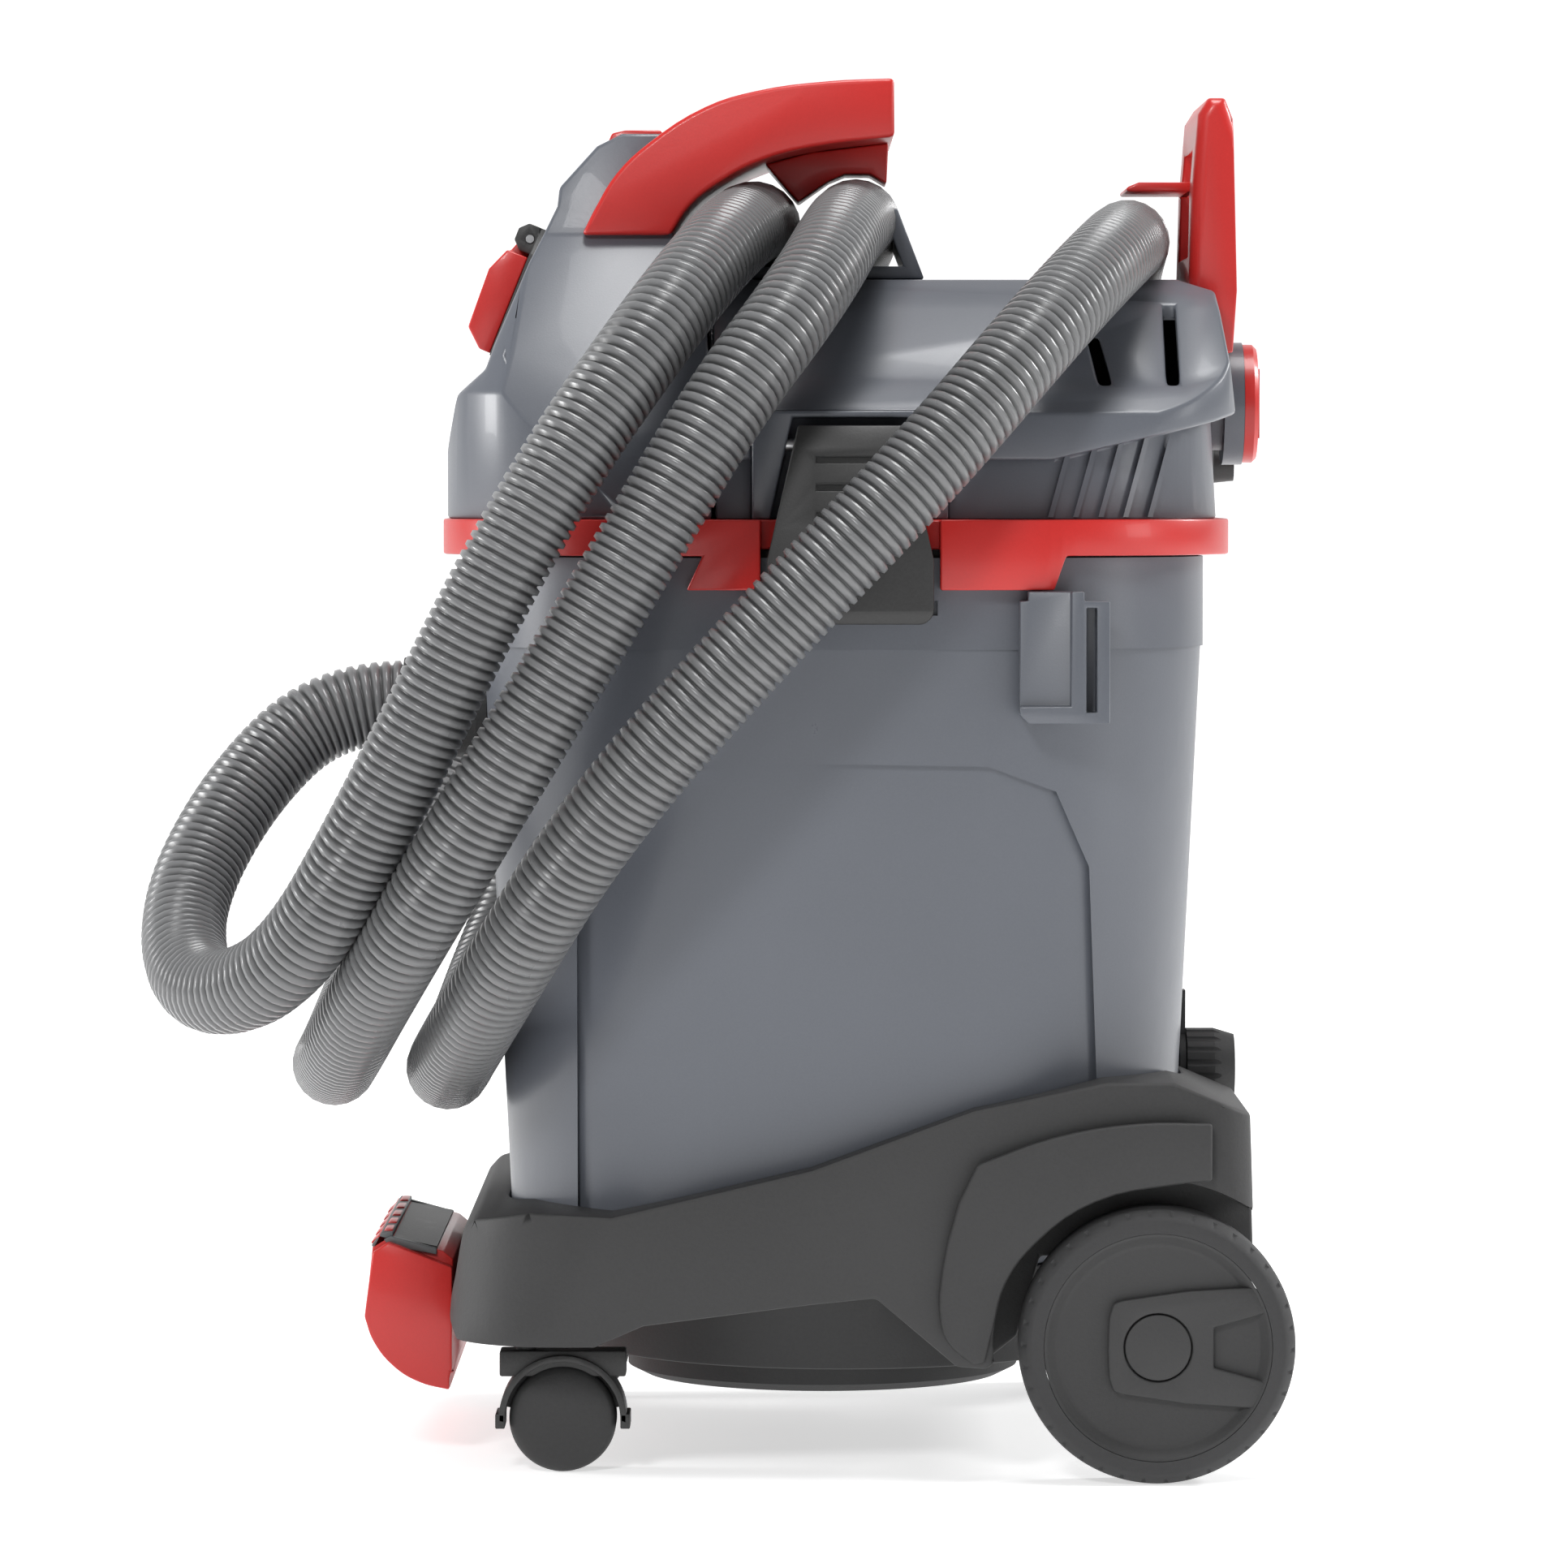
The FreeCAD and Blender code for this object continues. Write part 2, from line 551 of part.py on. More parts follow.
knob_y = "socket_width / 2 + 4 + 22"
knob_at = ("tank_axis - tank_half + 15", knob_y, "lid_z + 103")
turned("switch_plate",
       [(0, "seat"), ("knob_radius + 4", "seat"), ("knob_radius + 4", 2), (3.2, 2), (3.2, 6), (0, 6)],
       knob_at, slope_turn)
knob = new_body("switch_knob")
add_revolution(knob,
               [("3.2 + pin_play", 2.3), ("knob_radius", 2.3), ("knob_radius - 2", 9), (0, 9), (0, 6.3),
                ("3.2 + pin_play", 6.3)])
add_pad(knob, "XY_Plane", lambda sketch: draw_outline(sketch, [(-3, -15), (3, -15), (3, 15), (-3, 15)]),
        8.9, 4)
node(knob, "switch_knob", knob_at, slope_turn)

turned("mains_gland", [(5, -6), (9, -6), (9, 1), (14, 1), (14, 4), (9, 6), (8, 16), (5, 16)],
       ("tank_axis + tank_half + 7", 45, "lid_z + 26"), backwards)


# ---------------------------------------------------------------- latches

latch_high = size("latch_high")
latch_low = size("latch_low")
latch_in = half + 1.2 + size("latch_gap")
pin_out, pin_z = latch_in - 9, latch_high - 10
pin_radius = "latch_pin_radius"


def latch_outline(grow):
    """The latch seen from the side: narrow at the pin, wide at the hook."""
    narrow = latch_half - 15 + grow
    wide = latch_half + grow
    return [(latch_mid - wide, latch_low - grow), (latch_mid + wide, latch_low - grow),
            (latch_mid + wide, latch_low + 30),
            (latch_mid + narrow, latch_high + grow), (latch_mid - narrow, latch_high + grow),
            (latch_mid - wide, latch_low + 30)]


for side in (-1, 1):
    name = side_name(side)
    face = "tank_half + 1.2 + latch_gap"
    rise = "latch_low"
    profile = [(0, 0), (11, 0), (13, 6), (13, 44), (6, 83), (1, 93), (-13, 93), (-17, 88), (-17, 80),
               (-12, 73), (0, 53),
               (0, 9.5), (-2.2, 8.5), (-2.2, 5.5), (0, 4.5)]
    latch = new_body(f"latch_{name}")
    add_pad(latch, "YZ_Plane", lambda sketch: draw_outline(sketch, [
        (f"{side} * ({face} + {out})", f"latch_low + {up}") for out, up in profile]),
            f"{latch_mid} - latch_width / 2", "latch_width")
    for edge in (-1, 1):
        corner_cut = [(edge * (latch_half + 5), 30), (edge * latch_half, 30),
                      (edge * (latch_half - 15), 95), (edge * (latch_half + 5), 95)]
        add_pad(latch, "XZ_Plane", lambda sketch: draw_outline(sketch, [
            (f"{latch_mid} + {x}", f"latch_low + {z}") for x, z in corner_cut]), "-2 * tank_half",
                "4 * tank_half", "Pocket")
    for level in (51, 64, 77):
        groove = [(12.6 - (level - 44) * 0.18, level - 1.6), (14, level - 1.6), (14, level + 1.6),
                  (13.4 - (level - 44) * 0.18, level + 1.6)]
        groove = [(out - 2, up) if out < 13.5 else (out, up) for out, up in groove]
        add_pad(latch, "YZ_Plane", lambda sketch: draw_outline(sketch, [
            (f"{side} * ({face} + {out})", f"latch_low + {up}") for out, up in groove]),
                f"{latch_mid} - 16", "32", "Pocket")
    add_pad(latch, "YZ_Plane", lambda sketch: draw_circle(
        sketch, (f"{side} * ({face} - 9)", "latch_high - 10"), f"{pin_radius} + pin_play"),
            "-latch_width", "2 * latch_width", "Pocket")
    add_rounding(latch, 7,
                 lambda edge: len(edge.Vertexes) == 2 and abs(edge.CenterOfMass.z - latch_low) < 0.1
                 and abs(edge.CenterOfMass.x - latch_mid) > latch_half - 0.1)
    node(latch, f"latch_{name}")

cheek = block(latch_mid - latch_half - 7, latch_mid + latch_half + 7, bay_y - 12, bay_y + 11,
              lid_z + size("seat"), latch_high + 6)
cheek = cheek.cut(prism(latch_outline(3), "XZ", bay_y - 7, 2 * half))
hinge_rod = rod(size(pin_radius), (latch_mid - latch_half - 5, pin_out, pin_z),
                (latch_mid + latch_half + 5, pin_out, pin_z))
feature("latch_seats", both_sides(cheek.cut(hinge_rod)))
feature("latch_pins", both_sides(hinge_rod))


# ---------------------------------------------------------------- fittings on the tank

bracket_top = band_low - 0.5
bracket_in = half + 1.2
bracket_low = seam_z - 34
shoulder_z = seam_z + 23
bracket = prism([(82, bracket_low + 4), (86, bracket_low), (124, bracket_low), (124, shoulder_z),
                 (112, shoulder_z),
                 (112, bracket_top), (86, bracket_top), (86, shoulder_z), (82, shoulder_z)],
                "XZ", bracket_in, bracket_in + 18)
bracket = bracket.cut(block(113, 118, bracket_in + 5, bracket_in + 20, bracket_low + 5, shoulder_z - 3))
bracket = bracket.cut(block(80, 106, bracket_in + 13, bracket_in + 20, bracket_low + 8, lid_z))
feature("tool_brackets", both_sides(bracket))

forwards = Rotation(Vector(0, 1, 0), -90)
inlet_at = ("tank_axis - tank_half + 2", 0, "inlet_z")
turned("inlet_port",
       [("inlet_radius - 7", -16), ("inlet_radius - 3", -16), ("inlet_radius - 3", 2.6),
        ("inlet_radius", 2.6),
        ("inlet_radius", 8), ("inlet_radius - 1", 19), ("inlet_radius - 7", 19)], inlet_at,
       forwards)
cuff_bore = "hose_radius - 3"
turned("hose_cuff",
       [(cuff_bore, -4), ("inlet_radius - 7 - seat", -4), ("inlet_radius - 7 - seat", "19 + seat"),
        ("cuff_radius", "19 + seat"), ("cuff_radius", 30),
        ("hose_radius + 1.5", "cuff_length"),
        (cuff_bore, "cuff_length")], inlet_at, forwards)

drain_at = ("tank_axis + drain_out", 0, "drain_z")
spout = new_body("drain_spout")
add_revolution(spout,
               [("drain_radius - 11", -6), ("drain_radius - 7", -6), ("drain_radius - 7", 3),
                ("drain_radius - 2", 3),
                ("drain_radius - 2", 6), ("drain_radius - 6", 6), ("drain_radius - 6", 16),
                ("drain_radius - 11", 16)])
add_pad(spout, "XY_Plane", lambda sketch: draw_outline(sketch, [
    ("4 - drain_radius", -5), ("4 - drain_radius", 5), ("-drain_radius - 19", 5),
    ("-drain_radius - 19", -5)]), 3, 3)
node(spout, "drain_spout", drain_at, backwards)
drain_cap = new_body("drain_cap")
add_revolution(drain_cap,
               [("drain_radius - 6 + seat + 0.2", "6 + 2 * seat + 0.3"),
                ("drain_radius", "6 + 2 * seat + 0.3"),
                ("drain_radius", 20), ("drain_radius - 3", 30), (0, 30),
                (0, "16 + seat + 0.3"),
                ("drain_radius - 6 + seat + 0.2", "16 + seat + 0.3")])
notch = add_pad(drain_cap, "XY_Plane", lambda sketch: draw_circle(sketch, ("drain_radius + 1", 0), 2), 5,
                30, "Pocket")
ring = drain_cap.newObject("PartDesign::PolarPattern", "drain_cap_grip")
ring.Originals = [notch]
ring.Axis = (next(item for item in drain_cap.Origin.OriginFeatures if item.Role == "Z_Axis"), [""])
ring.Occurrences = 18
drain_cap.Tip = ring
node(drain_cap, "drain_cap", drain_at, backwards)


# ---------------------------------------------------------------- motor, filter and float, inside

motor_at = ("tank_axis + 45", 0, "lid_z")
motor_x = 45
plate_form = loft([(-opening + 0.5, opening - 0.5, opening - 0.5, corner - 12, -6),
                   (-opening + 0.5, opening - 0.5, opening - 0.5, corner - 12, 0)])
feature("motor_plate", plate_form.cut(rod(30, (motor_x, 0, -7), (motor_x, 0, 1))), head_at)
turned("motor_seal", [(31, "seat"), (60, "seat"), (60, 3), (31, 3)], motor_at)
turned("fan_housing",
       [("shaft_radius + 20", "3 + seat"), ("impeller_radius + 7", "3 + seat"),
        ("impeller_radius + 7", 40),
        ("shaft_radius + 6", 40), ("shaft_radius + 6", 37), ("impeller_radius + 4", 37),
        ("impeller_radius + 4", 6),
        ("shaft_radius + 20", 6)], motor_at)
turned("motor_can",
       [("shaft_radius + 6", "40 + seat"), ("motor_radius", "40 + seat"), ("motor_radius", 92),
        ("motor_radius - 8", 98),
        ("shaft_radius + 6", 98), ("shaft_radius + 6", 93), ("shaft_radius + 2", 93),
        ("shaft_radius + 2", 50),
        ("shaft_radius + 6", 50)], motor_at)
turned("motor_shaft", [(0, 8), ("shaft_radius", 8), ("shaft_radius", 100), (0, 100)], motor_at)
shaft_radius = size("shaft_radius")
races = [rod(shaft_radius + 6, (0, 0, low), (0, 0, low + 4)) for low in (41, 94)]
shaft_room = rod(shaft_radius + size("running_play"), (0, 0, 0), (0, 0, head_top))
feature("bearings", Part.makeCompound([race.cut(shaft_room) for race in races]), motor_at)

impeller = new_body("impeller")
add_revolution(impeller,
               [("shaft_radius", 10), ("impeller_radius", 10), ("impeller_radius", 12),
                ("shaft_radius + 5", 12),
                ("shaft_radius + 5", 32), ("shaft_radius", 32)])
blade = add_pad(impeller, "XY_Plane", lambda sketch: draw_outline(sketch, [
    ("shaft_radius + 4", -1), ("impeller_radius - 2", 9), ("impeller_radius - 3", 11),
    ("shaft_radius + 4", 1.5)]), 11.5, 18)
fan = impeller.newObject("PartDesign::PolarPattern", "impeller_blades")
fan.Originals = [blade]
fan.Axis = (next(item for item in impeller.Origin.OriginFeatures if item.Role == "Z_Axis"), [""])
fan.Occurrences = 9
impeller.Tip = fan
node(impeller, "impeller", motor_at)

turned("filter_cage",
       [(31, "-6 - seat"), ("filter_radius", "-6 - seat"), ("filter_radius", -12), (34, -12),
        (34, "-filter_tall - seat"),
        ("filter_radius + 2", "-filter_tall - seat"),
        ("filter_radius + 2", "-filter_tall - 6"), (31, "-filter_tall - 6")],
       motor_at)
turned("filter_cartridge",
       [("34 + seat", "-12 - seat"), ("filter_radius", "-12 - seat"), ("filter_radius", "-filter_tall"),
        ("34 + seat", "-filter_tall")], motor_at)
turned("float_cage",
       [("float_radius + 2", "-filter_tall - 6 - seat"), ("float_radius + 5", "-filter_tall - 6 - seat"),
        ("float_radius + 5", "-filter_tall - 66"), (6, "-filter_tall - 66"),
        (6, "-filter_tall - 63"),
        ("float_radius + 2", "-filter_tall - 63")], motor_at)
turned("float",
       [(0, "-filter_tall - 62"), ("float_radius - 6", "-filter_tall - 62"),
        ("float_radius", "-filter_tall - 56"),
        ("float_radius", "-filter_tall - 36"), ("float_radius - 8", "-filter_tall - 30"),
        (0, "-filter_tall - 30")], motor_at)


# ---------------------------------------------------------------- chassis

flank_y = size("flank_y")
chassis_wall = size("chassis_wall")
wheel_x, wheel_radius = size("wheel_x"), size("wheel_radius")
wheel_out, wheel_width = size("wheel_out"), size("wheel_width")
well_radius = wheel_radius + size("well_gap")
well_in = wheel_out - wheel_width - 5
caster_x, caster_y = size("caster_x"), size("caster_y")
caster_radius, trail = size("caster_radius"), size("caster_trail")
swing = trail + caster_radius + size("hood_gap + hood_wall") + 4
nose = half + 15
tail = half + 22

# The flank rises from the nose, under the tank, to the wheel arch.
flank_top = [(-nose, 74), (-nose + 4, 93), (-nose + 8, 116), (-nose + 14, 122), (-nose + 41, 127),
             (-nose + 79, 125),
             (-15, 147), (61, 175), (tail - 72, 188), (tail - 40, 188), (tail, 171)]
flank_low = [(tail, 104), (93, 104), (82, 66), (67, 54), (53, 55), (15, 87), (-15, 84), (-94, 74),
             (-117, 64), (-nose + 5, 64)]


def chassis_form(inset):
    """The chassis as a solid, seen from the side, from above and from the front."""
    side = prism([(x, z - inset) for x, z in flank_top] + flank_low, "XZ", -2 * half, 2 * half)
    plan = loft([(-nose + inset, tail - inset, flank_y - inset, 52, 0),
                 (-nose + inset, tail - inset, flank_y - inset, 52, 60),
                 (-nose + 10 + inset, tail - 4 - inset, flank_y - 8 - inset, 62, 200)])
    square_tail = loft([(0, tail - inset, flank_y - inset, 18, 0),
                        (0, tail - inset, flank_y - inset, 18, 60),
                        (0, tail - 4 - inset, flank_y - 8 - inset, 18, 200)])
    return side.common(plan.fuse(square_tail))


wells = both_sides(rod(well_radius, (wheel_x, well_in, wheel_radius), (wheel_x, 2 * half, wheel_radius)))
well_linings = both_sides(rod(well_radius + chassis_wall, (wheel_x, well_in - chassis_wall, wheel_radius),
                              (wheel_x, 2 * half, wheel_radius)))
body_form = chassis_form(0)
hollow = chassis_form(chassis_wall).common(block(-nose, tail, -flank_y, flank_y, 0, 200))
skin = body_form.cut(hollow).fuse(well_linings.common(body_form))
deck_low = size("tank_z - deck_thick")
deck_thick = size("deck_thick")
cup_radius = size("sump_half + tank_play") + deck_thick
cup = rod(cup_radius, (0, 0, deck_low), (0, 0, size("sump_z") + 14))
cup = cup.cut(rod(cup_radius - deck_thick, (0, 0, size("tank_z")), (0, 0, lid_z)))
saddle_low = size("sump_z") - 6
saddle = loft([(-nose + 2, tail - 2, flank_y - 2, 54, saddle_low),
               (-nose + 2, tail - 2, flank_y - 2, 54, saddle_low + deck_thick)])
saddle = saddle.common(body_form)
caster_clear = both_sides(rod(swing, (-caster_x, caster_y, 0), (-caster_x, caster_y, 60)))
bosses = both_sides(rod(size("stem_radius") + 6, (-caster_x, caster_y, 62), (-caster_x, caster_y, 98)))
axle_radius = size("axle_radius")
axle_walls = both_sides(block(wheel_x - 14, wheel_x + 14, well_in - 30, well_in - 1, wheel_radius - 14,
                              114))
drain_room = block(half - 20, tail + 5, -size("drain_radius") - 8, size("drain_radius") + 8,
                   size("drain_z - drain_radius") - 3, lid_z)
tank_room = tank_form(-size("tank_play")).common(block(-2 * half, 2 * half, -2 * half, 2 * half,
                                                       size("tank_z"), lid_z))
chassis = skin.fuse([cup, saddle, bosses,
                     axle_walls]).cut(tank_room).cut(wells).cut(caster_clear).cut(drain_room)
chassis = chassis.cut(rod(axle_radius, (wheel_x, -flank_y, wheel_radius),
                          (wheel_x, flank_y, wheel_radius)))
chassis = chassis.cut(both_sides(rod(size("stem_radius"), (-caster_x, caster_y, 0),
                                     (-caster_x, caster_y, 92))))
feature("chassis", chassis)

turned("under_pan",
       [("pan_radius - 8", "pan_low"), ("pan_radius", "pan_low + 4"),
        ("pan_radius", "tank_z - deck_thick - seat"),
        ("pan_radius - 4", "tank_z - deck_thick - seat"), ("pan_radius - 4", "pan_low + 6"),
        (0, "pan_low + 6"),
        (0, "pan_low")], ("tank_axis - 9", 0, 0))


# ---------------------------------------------------------------- rear wheels

axle_end = "wheel_out - 6"
axle = new_body("rear_axle")
add_pad(axle, "XZ_Plane", lambda sketch: draw_circle(sketch, (0, 0), "axle_radius"), 0,
        f"2 * ({axle_end})", middle=True)
node(axle, "rear_axle", ("tank_axis + wheel_x", 0, "wheel_radius"))

for side in (-1, 1):
    name = side_name(side)
    outwards = Rotation(Vector(1, 0, 0), -90 * side)
    wheel_at = ("tank_axis + wheel_x", f"{side} * (wheel_out - wheel_width)", "wheel_radius")
    tyre = new_body(f"tyre_{name}")
    add_revolution(tyre,
                   [("wheel_radius - 13", 1), ("wheel_radius - 4", 0), ("wheel_radius", 4),
                    ("wheel_radius", "wheel_width - 8"),
                    ("wheel_radius - 4", "wheel_width - 1"), ("wheel_radius - 9", "wheel_width"),
                    ("wheel_radius - 13", "wheel_width - 1")])
    node(tyre, f"tyre_{name}", wheel_at, outwards)
    bore = "axle_radius + running_play"
    rim_edge = "wheel_radius - 13 - seat"
    turned(f"rim_{name}", [(bore, 4), (22, 4), (22, 14), (rim_edge, 14), (rim_edge, "wheel_width - 2"),
                           ("wheel_radius - 15", "wheel_width - 6"), (22, "wheel_width - 6"),
                           (22, "wheel_width - 5"),
                           (bore, "wheel_width - 5")], wheel_at, outwards)
    cover = new_body(f"wheel_cover_{name}")
    reach = "(wheel_radius - 15.6)"
    upper = [(f"0.97 * {reach}", f"0.24 * {reach}"), (f"0.87 * {reach}", f"0.49 * {reach}"),
             (f"0.6 * {reach}", f"0.53 * {reach}"),
             ("-hub_radius - 4", 20), ("-hub_radius - 7", 16)]
    lower = [(x, f"-({y})") for x, y in reversed(upper)]
    add_pad(cover, "XY_Plane", lambda sketch: draw_outline(
        sketch, [("hub_radius + 10", 9)] + upper + lower + [("hub_radius + 10", -9)]),
            "wheel_width - 5 + seat", "6 - seat")
    add_pad(cover, "XY_Plane", lambda sketch: draw_circle(sketch, (0, 0), "hub_radius"),
            "wheel_width - 10", 20, "Pocket")
    node(cover, f"wheel_cover_{name}", wheel_at, outwards)
    turned(f"hub_cap_{name}",
           [(0, "wheel_width - 5 + seat"), ("hub_radius - 0.8", "wheel_width - 5 + seat"),
            ("hub_radius - 0.8", "wheel_width + 1"),
            ("hub_radius - 2", "wheel_width + 2"), (0, "wheel_width + 2")],
           wheel_at, outwards)


# ---------------------------------------------------------------- front casters

for side in (-1, 1):
    name = side_name(side)
    caster_at = ("tank_axis - caster_x", f"{side} * caster_y", 0)
    hub = "caster_trail"
    fork = new_body(f"caster_hood_{name}")
    rim_radius = "caster_radius + hood_gap + hood_wall"
    add_pad(fork, "XZ_Plane", lambda sketch: draw_circle(sketch, (hub, "caster_radius"), rim_radius), 0,
            "caster_width + 2 * hood_wall + 1.4", middle=True)
    add_pad(fork, "XZ_Plane", lambda sketch: draw_outline(sketch, [
        (-9, 40), (20, 40), (20, 58), (-9, 58)]), 0, 18, middle=True)
    add_pad(fork, "XZ_Plane", lambda sketch: draw_outline(sketch, [
        (-40, -20), (80, -20), (80, "caster_radius - 3"), (-40, "caster_radius + 3")]), 0, 80, "Pocket",
            middle=True)
    add_pad(fork, "XZ_Plane",
            lambda sketch: draw_circle(sketch, (hub, "caster_radius"), "caster_radius + hood_gap"), 0,
            "caster_width + 1.4", "Pocket", middle=True)
    add_pad(fork, "XZ_Plane", lambda sketch: draw_outline(sketch, [
        ("caster_trail - 30", 58.1), ("caster_trail + 36", 58.1), ("caster_trail + 36", 75),
        ("caster_trail - 30", 75)]), 0, 60,
            "Pocket", middle=True)
    add_pad(fork, "XY_Plane", lambda sketch: draw_circle(sketch, (0, 0), "stem_radius - running_play"),
            57, 33)
    add_pad(fork, "XZ_Plane", lambda sketch: draw_circle(sketch, (hub, "caster_radius"), "caster_axle"),
            0,
            "caster_width + 2 * hood_wall", middle=True)
    node(fork, f"caster_hood_{name}", caster_at)

    roller = new_body(f"caster_wheel_{name}")
    tread = "caster_width / 2"
    add_revolution(roller,
                   [("caster_axle + running_play", f"-{tread}"), ("caster_radius - 12", f"-{tread}"),
                    ("caster_radius - 4", f"3 - {tread}"), ("caster_radius", f"7 - {tread}"),
                    ("caster_radius", f"{tread} - 7"), ("caster_radius - 4", f"{tread} - 3"),
                    ("caster_radius - 12", tread), ("caster_axle + running_play", tread)])
    node(roller, f"caster_wheel_{name}",
         ("tank_axis - caster_x + caster_trail", f"{side} * caster_y", "caster_radius"),
         Rotation(Vector(1, 0, 0), 90))


# ---------------------------------------------------------------- front bumper

bumper_half = size("bumper_half")
bumper_wall = size("bumper_wall")
bumper_front = -half - 62


def bumper_form(inset):
    """A raked block with a curved chin, rounded in plan."""
    chin = Vector(bumper_front + inset, 64), Vector(bumper_front + 13 + inset,
                                                    45 + inset), Vector(bumper_front + 38, 33 + inset)
    start, middle, end = [Vector(point.x, -bumper_half - 5, point.y) for point in chin]
    corners = [end, Vector(-nose, -bumper_half - 5, 38 + inset),
               Vector(-nose, -bumper_half - 5, 111 - inset),
               Vector(bumper_front + 19 + inset, -bumper_half - 5, 112 - inset),
               Vector(bumper_front + 6 + inset, -bumper_half - 5, 88), start]
    edges = [Part.Arc(start, middle, end).toShape()]
    edges += [Part.LineSegment(first, second).toShape() for first, second in zip(corners, corners[1:])]
    side = Part.Face(Part.Wire(edges)).extrude(Vector(0, 2 * bumper_half + 10, 0))
    plan = loft([(bumper_front + inset, -nose + 60, bumper_half - inset, 34, 0),
                 (bumper_front + inset, -nose + 60, bumper_half - inset, 34, 200)])
    return side.common(plan)


bumper = bumper_form(0).cut(bumper_form(bumper_wall)).cut(block(-nose - 30, -nose + 5,
                                                                -bumper_half + bumper_wall,
                                                                bumper_half - bumper_wall, 52, 130))
bumper = bumper.fuse(both_sides(block(bumper_front + 8, -nose, 38, 46, 45, 85).common(bumper_form(1))))
inlay_sides = [(bumper_front + 4, 92), (bumper_front + 10, 100), (-nose + 10, 86), (-nose + 10, 78),
               (bumper_front + 22, 85)]
inlay_room = prism(inlay_sides, "XZ", -bumper_half - 5, bumper_half + 5)
inlay_form = inlay_room.common(bumper_form(-0.6)).cut(bumper_form(bumper_wall - 2))
feature("front_bumper", bumper.cut(inlay_form))
feature("bumper_inlay", inlay_form)


# ---------------------------------------------------------------- suction hose

HOSE_ROUTE = [
    (-203.5, 0, 361), (-240, 0, 361), (-284, -20, 318), (-311, -60, 262), (-298, -120, 222),
    (-250, -180, 238), (-206, -216, 312),
    (-135, -232, 455), (-70, -200, 550), (-34, -96, 596), (-25, 88, 596), (-60, 196, 545),
    (-120, 230, 440), (-185, 228, 310),
    (-228, 184, 222), (-240, 80, 184), (-236, -80, 184), (-208, -190, 232), (-158, -230, 315),
    (-98, -232, 415), (-45, -222, 505),
    (-5, -186, 558), (16, -92, 597), (24, 88, 597), (-4, 196, 548), (-66, 230, 450), (-122, 228, 330),
    (-166, 184, 226),
    (-180, 80, 182), (-182, -80, 182), (-154, -190, 230), (-104, -232, 312), (-30, -236, 395),
    (50, -232, 478), (110, -190, 548),
    (149, -92, 587), (156, 88, 587), (152, 190, 546), (138, 230, 460), (122, 232, 350), (112, 232, 262),
]
BEND_SHARE = 0.45


def hose_wire(points):
    """Straight runs joined by tangent arcs as large as their runs allow."""
    places = [Vector(*point) for point in points]
    edges, here, radii = [], places[0], []
    for before, spot, after in zip(places, places[1:], places[2:]):
        into = (spot - before).normalize()
        away = (after - spot).normalize()
        turn_by = into.getAngle(away)
        reach = BEND_SHARE * min(spot.distanceToPoint(before), spot.distanceToPoint(after))
        radius = reach / tan(turn_by / 2)
        radii.append(radius)
        begin, finish = spot - into * reach, spot + away * reach
        towards = (away - into).normalize()
        middle = spot + towards * (radius / cos(turn_by / 2) - radius)
        edges.append(Part.LineSegment(here, begin).toShape())
        edges.append(Part.Arc(begin, middle, finish).toShape())
        here = finish
    edges.append(Part.LineSegment(here, places[-1]).toShape())
    return Part.Wire(edges), radii


hose_path, hose_bends = hose_wire(HOSE_ROUTE)
hose_start = Vector(*HOSE_ROUTE[0])
hose_section = Part.Wire([Part.Circle(hose_start, Vector(*HOSE_ROUTE[1]) - hose_start,
                                      hose_radius).toShape()])
hose = hose_path.makePipeShell([hose_section], True, True)
print("hose length", round(hose_path.Length), "tightest bends",
      sorted(round(radius) for radius in hose_bends)[:6],
      "volume over section times length",
      round(hose.Volume / (pi * hose_radius ** 2 * hose_path.Length), 4))
feature("suction_hose", hose, (0, 0, 0))

# The hand cuff at the free end carries the wand socket; the hose runs into it face to face.
hose_end, hose_before = Vector(*HOSE_ROUTE[-1]), Vector(*HOSE_ROUTE[-2])
end_way = (hose_end - hose_before).normalize()
end_turn = Rotation(Vector(0, 0, 1), end_way)
end_cuff = new_body("end_cuff")
add_revolution(end_cuff,
               [(16, 0), ("cuff_radius", 0), ("cuff_radius", 30), (21, 36), (20, 100), (16, 100)])
node(end_cuff, "end_cuff", HOSE_ROUTE[-1], end_turn)


# ---------------------------------------------------------------- check every object, then write the pieces

doc.recompute()
for item in doc.Objects:
    if any(word in ("Invalid", "Error") for word in item.State):
        raise RuntimeError(f"{item.Label} failed: {item.State}")
for item in nodes:
    if item.Shape.isNull() or not item.Shape.isValid() or not item.Shape.Solids:
        raise RuntimeError(f"{item.Label} has no valid solid")

os.makedirs("parts", exist_ok=True)
for item in nodes:
    item.Shape.exportStep(f"parts/{item.Label}.step")
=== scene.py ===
"""Shop vacuum on wheels: its hose, mouldings, wheels and finishes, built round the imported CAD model.

Everything is in metres in the CAD's frame: the bumper is at -X, the rear wheels at +X, and Z is up.
"""

